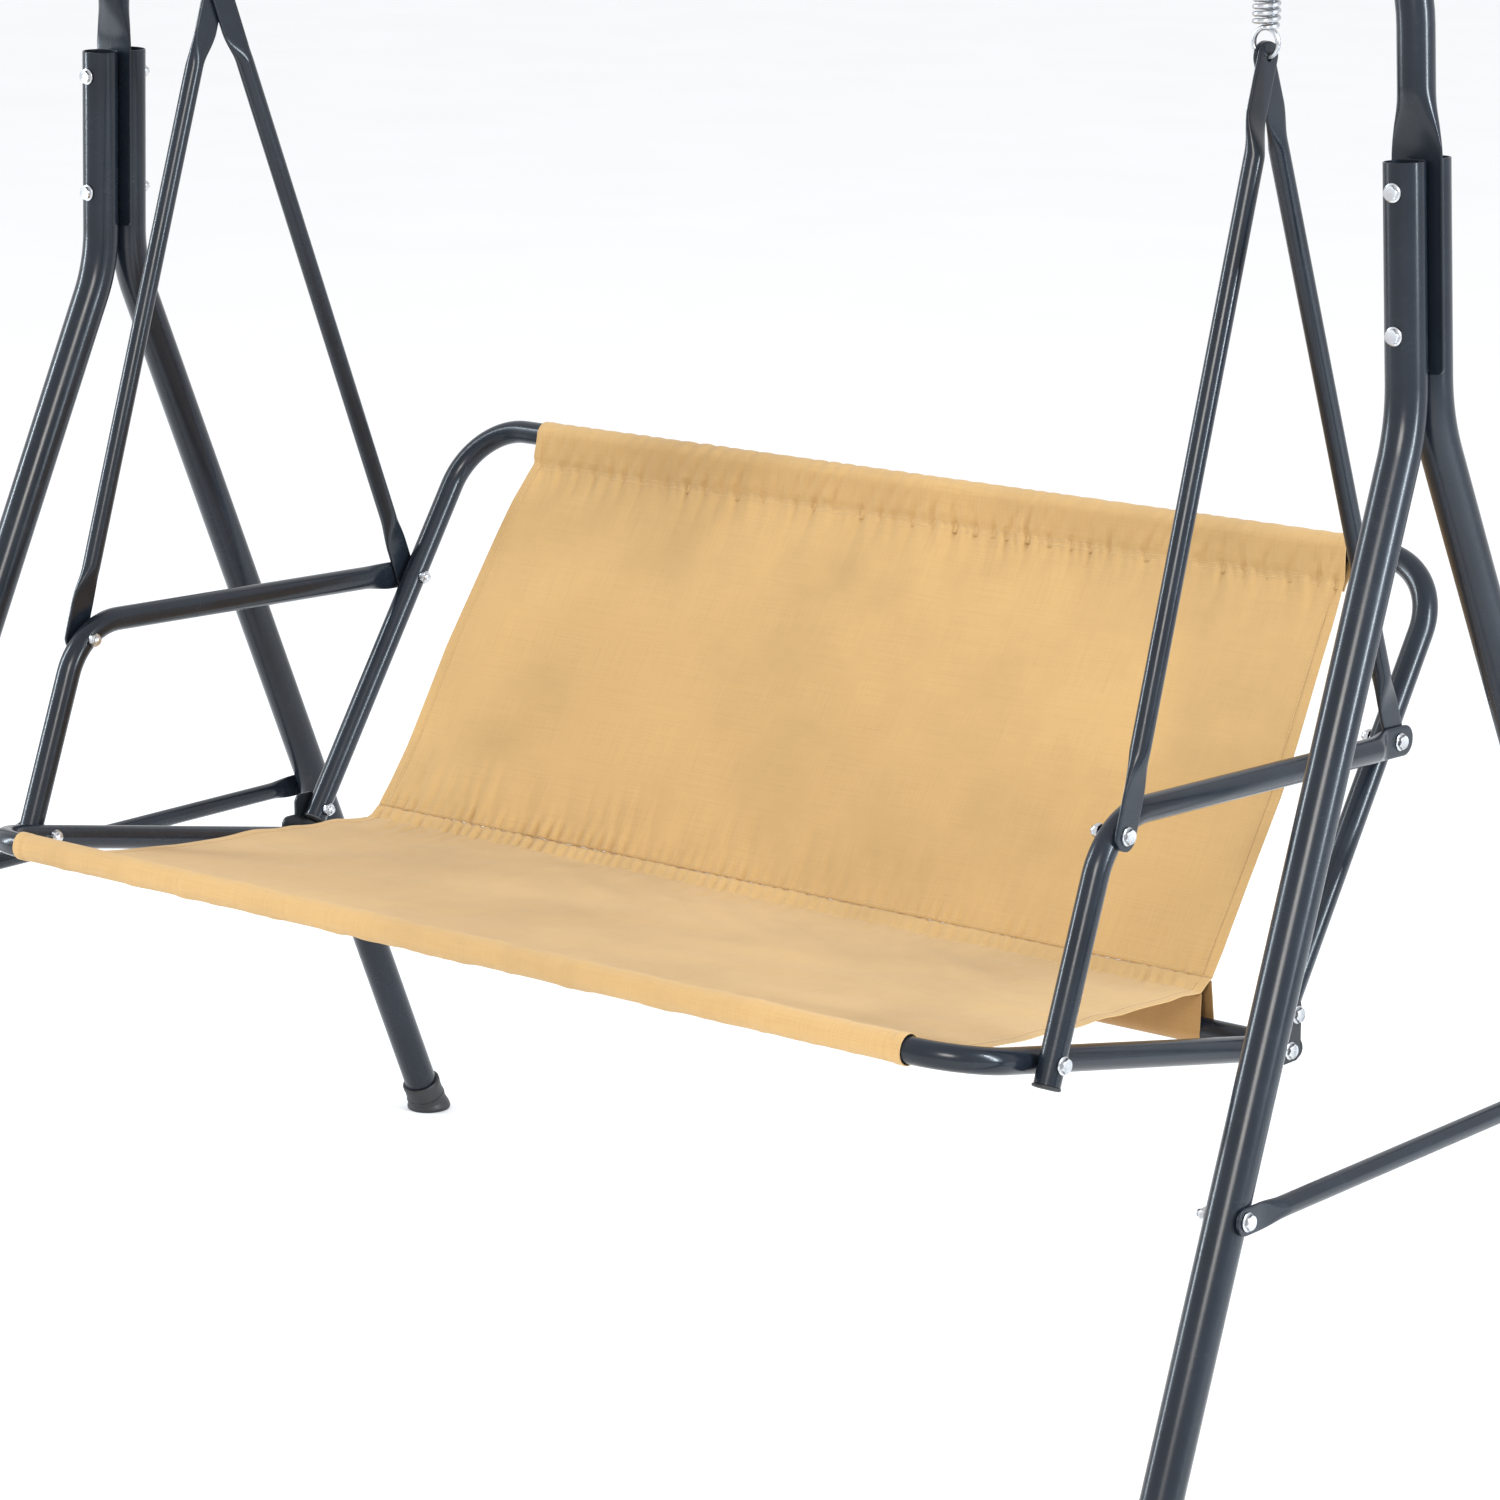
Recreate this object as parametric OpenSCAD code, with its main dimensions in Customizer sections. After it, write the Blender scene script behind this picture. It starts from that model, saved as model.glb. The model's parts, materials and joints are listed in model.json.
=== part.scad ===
// Bench swing: a fabric sling seat, hung by two springs from a bar on two A-shaped sides.
// Z is up, the front is -Y, and the origin is on the ground under the middle of the frame.
// All lengths are in millimetres.

/* [A-frame] */
// Distance from the middle to each leg's axis on the ground, sideways
foot_x = 881; // [860:1:920]
// Distance from the middle to each leg's axis on the ground, front and back
foot_y = 517; // [480:1:540]
// Inward lean of each side, in degrees
lean = 2.39; // [2:0.01:3]
// Height at which the legs bend upright
leg_bend_z = 1092; // [1060:1:1110]
// Height of the legs' open tops
leg_top_z = 1321; // [1315:1:1330]
// Radius of the legs' bend
leg_bend_r = 170; // [120:5:200]
// Outside diameter of the leg tubes and the top bar's middle tube
leg_d = 38; // [37.5:0.5:39]
// Wall thickness of the frame's tubes
frame_wall = 1.5; // [1.2:0.1:1.6]
// Heights of the two bolts through each leg joint
joint_bolt_z = [1171, 1296]; // [1160:1:1300]

/* [Top bar] */
// Height of the top bar's axis
bar_z = 1600; // [1590:1:1640]
// Outside diameter of the top bar's bent ends
post_d = 34; // [33:0.5:34]
// Radius of the bent ends' bend
post_bend_r = 170; // [150:5:175]
// Thickness of the flattened plate between the legs
post_plate_t = 3; // [3:0.5:4]
// Width of the flattened plate
post_plate_w = 52; // [44:1:56]
// Half the length of the middle tube
bar_half = 620; // [600:5:630]
// How far a bent end slides into the middle tube
bar_overlap = 60; // [50:5:80]

/* [Stabilisers] */
// Height of the side bars
stabiliser_z = 441; // [400:1:500]
// Diameter of the side bars
stabiliser_d = 19; // [17:1:20]

/* [Springs] */
// Distance from the middle to each spring
spring_x = 665; // [664:1:667]
// Outside diameter of the coil
coil_d = 26; // [24:1:28]
// Diameter of the spring's wire
wire_d = 5; // [4:0.5:5]
// Number of turns in the coil
coil_turns = 15; // [10:1:16]
// Mean radius of the spring's end rings
ring_r = 13; // [12.5:0.5:14]
// Height of the pivot in the hangers' holes
hook_z = 1401; // [1399:1:1403]

/* [Hangers] */
// Diameter of the hanger rods
rod_d = 19; // [17:1:20]
// Place of the front rods' lower bolt, towards the back
front_pivot_y = -217; // [-218:0.5:-216]
// Height of the front rods' lower bolt
front_pivot_z = 732; // [730:0.5:734]
// Height of the rear rods' lower bolt
rear_pivot_z = 729.5; // [727:0.5:732]

/* [Seat frame] */
// Half the distance between the side tubes' axes
seat_x = 640; // [636:1:642]
// Diameter of the seat, back and armrest tubes
seat_d = 25; // [24:0.5:25]
// Wall thickness of the back, armrest and hanger tubes
seat_wall = 1.2; // [1:0.1:1.5]
// Wall thickness of the seat's U-shaped tube
front_wall = 1.5; // [1.2:0.1:1.6]
// Place of the front tube's axis, towards the back
seat_front_y = -393; // [-396:1:-390]
// Height of the front tube's axis
seat_front_z = 556; // [555:0.5:557]
// Fall of the seat tubes towards the back
seat_fall = 0.2; // [0.19:0.01:0.21]
// Where the seat tubes end at the back
seat_rear_y = 111; // [109:1:114]
// Radius of the seat tube's front corners
seat_bend_r = 60; // [50:5:60]
// Place of the lower bolt of each back tube, towards the back
hinge_y = 98; // [97.5:0.5:98.5]
// Height of the lower bolt of each back tube
hinge_z = 493; // [492:0.5:494]
// Backward slope of the back tubes
back_slope = 0.672; // [0.66:0.001:0.68]
// Height of the back tube's top
back_top_z = 885.5; // [870:0.5:900]
// Radius of the back tube's top corners
back_bend_r = 75; // [60:5:80]

/* [Armrests] */
// Distance from the middle to each armrest's axis
arm_x = 665.2; // [665.2:0.1:666]
// Place of an armrest's front corner, towards the back
arm_corner_y = -223; // [-224:0.5:-222]
// Height of an armrest's front corner
arm_corner_z = 747.6; // [746.6:0.2:748.6]
// Height of an armrest's lower end
arm_low_z = 521; // [515:1:523]
// Height of an armrest's lower bolt
arm_bolt_z = 540; // [539:0.5:541]
// Forward lean of an armrest's front leg
arm_slope = 0.3856; // [0.38:0.0001:0.39]
// Radius of the armrest's front bend
arm_bend_r = 75; // [70:5:80]

/* [Sling] */
// Thickness of the sling's cloth
cloth_t = 1.5; // [1:0.1:1.6]
// Half the sling's width at the front
sling_front_half = 576; // [570:1:578]
// Half the sling's width at the fold
sling_fold_half = 553; // [545:1:558]
// Half the sling's width at the top
sling_top_half = 533.5; // [528:0.5:545]
// Place of the fold's front seam, towards the back
seam_a_y = 86; // [85:0.5:87]
// Height of the fold's front seam
seam_a_z = 499; // [498:0.5:500]
// Place of the fold's rear seam, towards the back
seam_b_y = 105; // [104:0.5:106]
// Height of the fold's rear seam
seam_b_z = 508; // [507:0.5:509]
// Depth factor of the seat panel's sag
sag = 48; // [30:1:55]
// Distance of the top sleeve's stitching below the back tube's axis
stitch_drop = 29.5; // [25:0.5:35]

/* [Hidden] */
$fn = 64;

// places in the plane of Y and Z
front_pivot = [front_pivot_y, front_pivot_z];
seat_front = [seat_front_y, seat_front_z];
hinge_bolt = [hinge_y, hinge_z];
arm_corner = [arm_corner_y, arm_corner_z];
seam_a = [seam_a_y, seam_a_z];
seam_b = [seam_b_y, seam_b_z];

steel_colour = "#2b2e33";
zinc_colour = "#c9ccd0";
plastic_colour = "#1b1c1e";
cloth_colour = "#deb880";

small_gap = 0.1; // between pieces that touch
seam_l = 1.6; // length and height of the collar that joins two stretches of a tube
seam_h = 0.2;
bolt_d = 8; // shank of every through bolt
hole_d = 8.5; // clearance hole of every through bolt
head_d = 15;
head_h = 5;
washer_d = head_d + 2;
nut_af = 13; // across the flats
nut_h = 6.5;
past = nut_h + 3; // from a nut's face to its bolt's end

leg_top_y = leg_d / 2 + post_plate_t / 2; // axis of a leg's upright top
plate_end_z = joint_bolt_z[0] - 37; // lower end of the plate between the legs
leg_end = 12; // from the ground point to the tube's end, along the leg
collar_d = leg_d + 6;
collar_l = 42;
foot_d = leg_d + 14;
foot_h = 10;

bar_bolt_x = bar_half - bar_overlap / 2;

eye_r = 10; // mean radius of the eye bolt's ring
eye_wire_d = 6;
eye_z = bar_z - post_d / 2 - 16; // centre of the eye bolt's ring
swing_z = eye_z - eye_r + (eye_wire_d + wire_d) / 2 + 0.3; // spring ring resting in the eye
coil_r = (coil_d - wire_d) / 2;
coil_low_z = hook_z + 2 * ring_r + 4;
coil_high_z = swing_z - 2 * ring_r - 4;
eye_collar = [14, 2.5]; // diameter and height of the eye bolt's collar
eye_collar_z = 12; // from the ring's centre to the collar
eye_nut = [10, 5]; // distance across the flats, and height
coil_steps = 14; // rings of points in each turn
wire_sides = 6;

rod_plate_t = 4;
rod_plate_w = 29;
rod_tip = 14; // from a hole's centre to the plate's tip
rod_hook_l = 50; // from the hook hole to the plate's neck
rod_bolt_l = 36; // from the bolt hole to the plate's neck
rod_neck = 42;
hook_hole_d = 8.4;
stabiliser_plate = [rod_plate_t - 1, 25]; // thickness and width
front_rod_x = (spring_x + arm_x) / 2 + 9; // axes of the rods' round stretches, sideways
rear_rod_x = (spring_x + seat_x) / 2 + 2.5;
// middles of the upper and the lower plate, sideways
front_plate_x = [spring_x + rod_plate_t / 2 + small_gap / 2, arm_x + seat_d / 2 + rod_plate_t / 2 + small_gap];
rear_plate_x = [spring_x - rod_plate_t / 2 - small_gap / 2, seat_x + seat_d / 2 + rod_plate_t / 2 + small_gap];
arm_plate_x = rear_plate_x[1] + rod_plate_t + small_gap;
rear_pivot = [back_y(rear_pivot_z), rear_pivot_z];

arm_low = [arm_y(arm_low_z), arm_low_z];
arm_bolt = [arm_y(arm_bolt_z), arm_bolt_z];
arm_tip = 22; // from the rear bolt to the tip of an armrest's plate
arm_plate_w = 30;
screw_y = hinge_bolt.x - 11;
open_y = hinge_bolt.x - 32;
hinge_screw = [screw_y, seat_z(screw_y)];
open_hole = [open_y, seat_z(open_y)];
hinge_plate_t = 3;
out_front = front_plate_x[1] + rod_plate_t / 2; // faces under the bolts' heads and nuts
out_rear = arm_plate_x + rod_plate_t / 2;
in_arm = arm_x - seat_d / 2;
in_seat = seat_x - seat_d / 2;
hinge_plate_x = seat_x + seat_d / 2 + small_gap;
back_low_z = hinge_bolt.y - 10;
cross_y = seat_rear_y - 13;
plug_l = 7; // depth of a plug inside its tube

sleeve_in = seat_d / 2 + small_gap;
sleeve_out = sleeve_in + cloth_t;
panel_start = [seat_front.x + sleeve_out - 1.2, seat_front.y - 3];
panel_steps = 20;
stitch_z = back_top_z - stitch_drop;
stitch = [back_y(stitch_z) + 3, stitch_z];

// ---- small functions ----

function unit(v) = v / norm(v);
function side_x(z) = foot_x - z * tan(lean);
// a point in the plane of the right side's legs
function on_side(y, z) = [side_x(z), y, z];
function leg_y(z) = foot_y - (foot_y - leg_top_y) * min(z, leg_bend_z) / leg_bend_z;
function seat_z(y) = seat_front.y - seat_fall * (y - seat_front.x);
function back_y(z) = hinge_bolt.x + back_slope * (z - hinge_bolt.y);
function arm_y(z) = arm_corner.x + arm_slope * (z - arm_corner.y);
function turn(p, i) = acos(unit(p[i] - p[i - 1]) * unit(p[i + 1] - p[i]));
// length that a bend takes from the straight stretches at point i
function cut(p, i, r) = (i == 0 || i == len(p) - 1) ? 0 : r * tan(turn(p, i) / 2);
function rest(list) = [for (i = [1 : 1 : len(list) - 1]) list[i]];
// height of the seat panel's upper face at a share u of its length
function panel_z(u) = panel_start.y + u * (seam_a.y - panel_start.y) - sag * pow(u, 0.7) * pow(1 - u, 1.8);

// ---- building blocks ----

// turns +Z to direction d
module along(d) {
    rotate([0, acos(d.z / norm(d)), atan2(d.y, d.x)]) children();
}

module both_sides() {
    children();
    mirror([1, 0, 0]) children();
}

module left() {
    mirror([1, 0, 0]) children();
}

module ring_outline(d, wall) {
    difference() {
        circle(d = d);
        circle(d = d - 2 * wall);
    }
}

// hollow tube from the origin along +Z: straight stretches with a turn towards +X after each but the last
module run(lengths, turns, r, d, wall) {
    linear_extrude(lengths[0]) ring_outline(d, wall);
    if (len(turns) > 0) translate([r, 0, lengths[0]]) {
        rotate([90, 0, 180]) rotate_extrude(angle = turns[0]) translate([r, 0]) ring_outline(d, wall);
        rotate([0, turns[0], 0]) translate([-r, 0, 0]) {
            if (abs(turns[0] - 90) > 0.001) translate([0, 0, -seam_l / 2]) linear_extrude(seam_l)
                ring_outline(d + 2 * seam_h, wall + 2 * seam_h);
            run(rest(lengths), rest(turns), r, d, wall);
        }
    }
}

// hollow tube along the points p, which lie in a plane, with bends of radius r
module tube(p, r, d, wall) {
    u = unit(p[1] - p[0]);
    side = len(p) > 2 ? p[2] - p[1] : [u.z, u.x, u.y];
    n = unit(side - (side * u) * u);
    w = cross(u, n);
    lengths = [for (i = [0 : len(p) - 2]) norm(p[i + 1] - p[i]) - cut(p, i, r) - cut(p, i + 1, r)];
    turns = [for (i = [1 : 1 : len(p) - 2]) turn(p, i)];
    multmatrix([
        [n.x, w.x, u.x, p[0].x],
        [n.y, w.y, u.y, p[0].y],
        [n.z, w.z, u.z, p[0].z]
    ]) run(lengths, turns, r, d, wall);
}

// plate outline from the origin along +Y, with rounded far corners
module tongue(w, l, r) {
    translate([-w / 2, 0]) square([w, l - r]);
    translate([r - w / 2, 0]) square([w - 2 * r, l]);
    for (s = [-1, 1]) translate([s * (w / 2 - r), l - r]) circle(r);
}

// flattened tube end along +Z from the tube's end, with the plate square to X and shifted along X
module flat_end(d, t, w, neck, l, corner, holes, hole, shift = 0) {
    translate([0, 0, -seam_l / 2]) cylinder(d = d + 2 * seam_h, h = seam_l);
    hull() {
        linear_extrude(0.01) circle(d = d - 2 * seam_h, $fn = 32);
        translate([shift - t / 2, -w / 2, neck]) cube([t, w, 0.01]);
    }
    translate([shift - t / 2, 0, neck]) rotate([90, 0, 90]) linear_extrude(t) difference() {
        tongue(w, l, corner);
        for (h = holes) translate([0, h]) circle(d = hole);
    }
}

// pin along X from x = 0 to l
module x_pin(d, l) {
    rotate([0, 90, 0]) cylinder(d = d, h = l);
}

// hexagonal bolt along -X: the underside of its head is at x = 0 and the head is at +X
module bolt(l) {
    translate([-l, 0, 0]) x_pin(bolt_d, l + head_h / 2);
    x_pin(washer_d, 1.5);
    rotate([0, 90, 0]) cylinder(d = head_d, h = head_h, $fn = 6);
}

// hexagonal nut along X from x = 0, with its hole
module nut() {
    difference() {
        rotate([0, 90, 0]) cylinder(d = nut_af / cos(30), h = nut_h, $fn = 6);
        translate([-1, 0, 0]) x_pin(bolt_d + 2 * small_gap, nut_h + 2);
    }
}

module place(x, p) {
    translate([x, p.x, p.y]) children();
}

// places for the bolts of the leg joints, turned so that +X points to the front
module at_leg_joints(y) {
    for (z = joint_bolt_z) translate(on_side(y, z)) rotate([0, 0, -90]) children();
}

// ---- A-frame: right side, front (s = -1) or rear (s = 1) ----

module leg(s) {
    low = on_side(s * foot_y, 0);
    bend = on_side(s * leg_top_y, leg_bend_z);
    dir = unit(bend - low);
    color(steel_colour) difference() {
        tube([low + dir * leg_end, bend, on_side(s * leg_top_y, leg_top_z)], leg_bend_r, leg_d, frame_wall);
        at_leg_joints(s * leg_top_y) translate([-leg_d, 0, 0]) x_pin(hole_d, 2 * leg_d);
        at_stabiliser(s) translate([-leg_d, 0, 0]) x_pin(hole_d, 2 * leg_d);
    }
}

module foot(s) {
    low = on_side(s * foot_y, 0);
    dir = unit(on_side(s * leg_top_y, leg_bend_z) - low);
    color(plastic_colour) difference() {
        union() {
            translate(low + dir * foot_h / 2 - [0, 0, foot_h / 2])
                cylinder(d1 = foot_d, d2 = foot_d - 3, h = foot_h);
            translate(low) along(dir) cylinder(d = collar_d, h = collar_l);
        }
        translate(low + dir * (leg_end - small_gap)) along(dir)
            cylinder(d = leg_d + 2 * small_gap, h = 2 * collar_l);
        translate(low - [foot_d, foot_d, foot_d]) cube([2 * foot_d, 2 * foot_d, foot_d]);
    }
}

// frame at a stabiliser's bolt: +X points out of the side
module at_stabiliser(s) {
    translate(on_side(s * leg_y(stabiliser_z), stabiliser_z)) rotate([0, -lean, 0]) children();
}

module stabiliser() {
    plate_x = leg_d / 2 + rod_plate_t / 2 + small_gap;
    hole_y = leg_y(stabiliser_z);
    neck = 40;
    plate_l = 31;
    hole_l = plate_l - 13; // from the neck to the hole
    straight = hole_y - neck - hole_l; // half the length of its round stretch
    color(steel_colour) translate(on_side(0, stabiliser_z)) rotate([0, -lean, 0]) translate([plate_x, 0, 0]) {
        tube([[0, -straight, 0], [0, straight, 0]], 0, stabiliser_d, seat_wall);
        for (s = [-1, 1]) translate([0, s * straight, 0]) rotate([-90 * s, 0, 0])
            flat_end(
                stabiliser_d, stabiliser_plate[0], stabiliser_plate[1], neck, plate_l,
                stabiliser_plate[1] / 2 - small_gap, [hole_l], hole_d
            );
    }
}

// ---- top bar ----

module post() {
    neck = 64;
    round_z = leg_top_z + neck;
    plate_l = leg_top_z - plate_end_z;
    corner = on_side(0, bar_z);
    dir = unit(corner - on_side(0, round_z));
    color(steel_colour) difference() {
        union() {
            tube(
                [on_side(0, round_z), corner, [bar_half - bar_overlap, 0, bar_z]], post_bend_r, post_d, frame_wall
            );
            translate(on_side(0, round_z)) along(-dir) rotate([0, 0, 90])
                flat_end(post_d, post_plate_t - 0.2, post_plate_w, neck, plate_l, 8, [], 0);
        }
        at_leg_joints(0) translate([-leg_d, 0, 0]) x_pin(hole_d, 2 * leg_d);
        translate([spring_x, 0, bar_z - post_d]) cylinder(d = eye_wire_d + 0.5, h = 2 * post_d);
        translate([bar_bolt_x, -post_d, bar_z]) rotate([-90, 0, 0]) cylinder(d = hole_d, h = 2 * post_d);
    }
}

module top_tube() {
    color(steel_colour) difference() {
        tube([[-bar_half, 0, bar_z], [bar_half, 0, bar_z]], 0, leg_d, frame_wall);
        both_sides() translate([bar_bolt_x, -leg_d, bar_z]) rotate([-90, 0, 0]) cylinder(d = hole_d, h = 2 * leg_d);
    }
}

// ---- fasteners of the frame ----

module leg_joint_bolts() {
    reach = leg_top_y + leg_d / 2;
    color(zinc_colour) both_sides() at_leg_joints(-reach) bolt(2 * reach + past);
}

module leg_joint_nuts() {
    color(zinc_colour) both_sides() at_leg_joints(leg_top_y + leg_d / 2 + nut_h) nut();
}

module top_bar_bolts() {
    color(zinc_colour) both_sides() translate([bar_bolt_x, -leg_d / 2, bar_z]) rotate([0, 0, -90])
        bolt(leg_d + past);
}

module top_bar_nuts() {
    color(zinc_colour) both_sides() translate([bar_bolt_x, leg_d / 2 + nut_h, bar_z]) rotate([0, 0, -90]) nut();
}

module stabiliser_bolts() {
    out = leg_d / 2 + rod_plate_t - 4 * small_gap;
    color(zinc_colour) both_sides() for (s = [-1, 1]) at_stabiliser(s) translate([out, 0, 0])
        bolt(out + leg_d / 2 + past);
}

module stabiliser_nuts() {
    color(zinc_colour) both_sides() for (s = [-1, 1]) at_stabiliser(s)
        translate([-leg_d / 2 - nut_h, 0, 0]) nut();
}

module eye_bolts() {
    color(zinc_colour) both_sides() translate([spring_x, 0, eye_z]) {
        rotate([0, 90, 0]) rotate_extrude() translate([eye_r, 0]) circle(d = eye_wire_d);
        translate([0, 0, eye_r]) cylinder(d = eye_wire_d, h = post_d + 22);
        translate([0, 0, eye_collar_z]) cylinder(d = eye_collar[0], h = eye_collar[1]);
    }
}

module eye_bolt_nuts() {
    color(zinc_colour) both_sides() translate([spring_x, 0, bar_z + post_d / 2 + small_gap]) difference() {
        cylinder(d = eye_nut[0] / cos(30), h = eye_nut[1], $fn = 6);
        translate([0, 0, -1]) cylinder(d = eye_wire_d + 2 * small_gap, h = eye_nut[1] + 2);
    }
}

// ---- springs: right side ----

module spring_ring(z) {
    color(zinc_colour) translate([spring_x, 0, z]) rotate([90, 0, 0])
        rotate_extrude() translate([ring_r, 0]) circle(d = wire_d);
}

module spring_eye() {
    spring_ring(swing_z - ring_r);
}

module spring_hook() {
    spring_ring(hook_z + ring_r);
}

// a coil of wire, swept along a helix
module spring_coil() {
    n = coil_turns * coil_steps;
    rise = (coil_high_z - coil_low_z) / n;
    points = [
        for (i = [0 : n]) for (k = [0 : wire_sides - 1])
            let (a = 360 * i / coil_steps, b = 360 * k / wire_sides, q = coil_r + wire_d / 2 * cos(b))
            [q * cos(a), q * sin(a), i * rise + wire_d / 2 * sin(b)]
    ];
    sides = [
        for (i = [0 : n - 1]) for (k = [0 : wire_sides - 1])
            let (m = (k + 1) % wire_sides, low = i * wire_sides, high = low + wire_sides)
            [low + k, low + m, high + m, high + k]
    ];
    first = [for (k = [wire_sides - 1 : -1 : 0]) k];
    last = [for (k = [0 : wire_sides - 1]) n * wire_sides + k];
    color(zinc_colour) translate([spring_x, 0, coil_low_z]) polyhedron(points, concat([first], sides, [last]));
}

// ---- hangers: right side ----

// a rod's flattened end with a hole at the distance l from its neck
module rod_end(l, hole, shift) {
    flat_end(rod_d, rod_plate_t, rod_plate_w, rod_neck, l + rod_tip, 13, [l], hole, shift);
}

// a rod from the hook hole to the bolt at pivot, with plates at the places plate_x and its round stretch at x
module rod(pivot, plate_x, x) {
    fall = [pivot.x, hook_z - pivot.y];
    upper = rod_hook_l + rod_neck; // from the hook hole to the round stretch
    lower = norm(fall) - rod_bolt_l - rod_neck;
    color(steel_colour) translate([x, 0, hook_z]) rotate([atan2(fall.x, fall.y), 0, 0]) {
        tube([[0, 0, -upper], [0, 0, -lower]], 0, rod_d, seat_wall);
        translate([0, 0, -upper]) rod_end(rod_hook_l, hook_hole_d, plate_x[0] - x);
        translate([0, 0, -lower]) rotate([180, 0, 0]) rod_end(rod_bolt_l, hole_d, plate_x[1] - x);
    }
}

module front_rod() {
    rod(front_pivot, front_plate_x, front_rod_x);
}

module rear_rod() {
    rod(rear_pivot, rear_plate_x, rear_rod_x);
}

// ---- seat assembly ----

// clears a bolt's hole across the tube at the place p, right side
module seat_hole(x, p) {
    place(x - seat_d, p) x_pin(hole_d, 2 * seat_d);
}

// U-shaped tube in a plane: its middle stretch lies on X and its legs run l along +Y
module u_tube(l, r, wall) {
    tube([[-seat_x, l, 0], [-seat_x, 0, 0], [seat_x, 0, 0], [seat_x, l, 0]], r, seat_d, wall);
}

module seat_frame() {
    l = norm([seat_rear_y, seat_z(seat_rear_y)] - seat_front);
    color(steel_colour) difference() {
        place(0, seat_front) rotate([-atan(seat_fall), 0, 0]) u_tube(l, seat_bend_r, front_wall);
        both_sides() {
            seat_hole(seat_x, arm_bolt);
            place(seat_x, hinge_screw) x_pin(hole_d, seat_d);
            place(seat_x, open_hole) x_pin(hole_d, seat_d);
        }
    }
}

module back_frame() {
    low = [back_y(back_low_z), back_low_z];
    top = [back_y(back_top_z), back_top_z];
    color(steel_colour) difference() {
        place(0, top) rotate([-atan2(1, -back_slope), 0, 0]) u_tube(norm(top - low), back_bend_r, seat_wall);
        both_sides() {
            seat_hole(seat_x, hinge_bolt);
            seat_hole(seat_x, rear_pivot);
        }
    }
}

module rear_cross_tube() {
    fall = unit([0, 1, -seat_fall]);
    color(steel_colour) difference() {
        tube([[-seat_x, cross_y, seat_z(cross_y)], [seat_x, cross_y, seat_z(cross_y)]], 0, seat_d, seat_wall);
        both_sides() translate([seat_x, cross_y, seat_z(cross_y)] - 2 * seat_d * fall) along(fall)
            cylinder(d = seat_d + 0.6, h = 4 * seat_d);
    }
}

module armrest() {
    neck = 36;
    plate_l = 42;
    to = unit(rear_pivot - arm_corner);
    hole_l = plate_l - arm_tip; // from the neck to the hole
    end = rear_pivot - to * (neck + hole_l); // where the round stretch ends
    color(steel_colour) difference() {
        union() {
            place(arm_x, arm_corner) tube([
                concat(0, end - arm_corner), [0, 0, 0], concat(0, arm_low - arm_corner)
            ], arm_bend_r, seat_d, seat_wall);
            place(arm_x, end) rotate([atan2(to.y, to.x) - 90, 0, 0]) flat_end(
                seat_d, rod_plate_t, arm_plate_w, neck, plate_l, 13, [hole_l], hole_d, arm_plate_x - arm_x
            );
        }
        seat_hole(arm_x, arm_bolt);
        seat_hole(arm_x, front_pivot);
    }
}

module hinge_plate() {
    front = hinge_bolt.x - 43;
    rear = hinge_bolt.x + 7;
    low = hinge_screw.y - 12;
    high = hinge_bolt.y + 16;
    step = high - 22; // height of its front part
    tab = rear - 30; // front edge of its upper part
    r = 9;
    color(steel_colour) translate([hinge_plate_x, 0, 0]) rotate([90, 0, 90]) linear_extrude(hinge_plate_t)
        difference() {
            union() {
                translate([front + r, low]) square([rear - front - 2 * r, step - low]);
                translate([front, low + r]) square([rear - front, step - low - 2 * r]);
                translate([tab, low + r]) square([rear - tab, high - low - 2 * r]);
                translate([tab + r, low + r]) square([rear - tab - 2 * r, high - low - r]);
                for (p = [
                    [front + r, low + r], [rear - r, low + r], [front + r, step - r],
                    [rear - r, high - r], [tab + r, high - r]
                ]) translate(p) circle(r);
            }
            for (p = [hinge_bolt, hinge_screw, open_hole]) translate(p) circle(d = hole_d);
        }
}

// plastic plug with a domed flange of diameter d in a tube's end: the end is at the origin, its inside at -Z
module plug(d, wall) {
    inner = seat_d - 2 * wall - 2 * small_gap;
    flange_h = 2;
    translate([0, 0, -plug_l]) cylinder(d = inner, h = plug_l + small_gap);
    translate([0, 0, small_gap]) cylinder(d = d, h = flange_h);
    translate([0, 0, small_gap + flange_h]) cylinder(d1 = d, d2 = seat_d - 6, h = 1.5);
}

module armrest_plugs() {
    color(plastic_colour) both_sides() place(arm_x, arm_low) along([0, -arm_slope, -1]) plug(seat_d + 1, seat_wall);
}

module seat_tube_plugs() {
    color(plastic_colour) both_sides() place(seat_x, [seat_rear_y, seat_z(seat_rear_y)])
        along([0, 1, -seat_fall]) plug(seat_d, front_wall);
}

module back_tube_plugs() {
    color(plastic_colour) both_sides() place(seat_x, [back_y(back_low_z), back_low_z])
        along([0, -back_slope, -1]) plug(seat_d, seat_wall);
}

// ---- fasteners of the seat ----

module through_bolt(p, from, to) {
    color(zinc_colour) both_sides() place(from + small_gap, p) bolt(from - to + past);
}

module front_rod_bolts() {
    through_bolt(front_pivot, out_front, in_arm);
}

module rear_rod_bolts() {
    through_bolt(rear_pivot, out_rear, in_seat);
}

module armrest_bolts() {
    through_bolt(arm_bolt, arm_x + seat_d / 2, in_seat);
}

module hinge_bolts() {
    through_bolt(hinge_bolt, hinge_plate_x + hinge_plate_t, in_seat);
}

module hinge_screws() {
    color(zinc_colour) both_sides() place(hinge_plate_x + hinge_plate_t + small_gap, hinge_screw) bolt(12);
}

module seat_nuts() {
    color(zinc_colour) both_sides() {
        place(in_arm - nut_h - small_gap, front_pivot) nut();
        place(in_seat - nut_h - small_gap, rear_pivot) nut();
        place(in_seat - nut_h - small_gap, arm_bolt) nut();
        place(in_seat - nut_h - small_gap, hinge_bolt) nut();
    }
}

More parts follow.
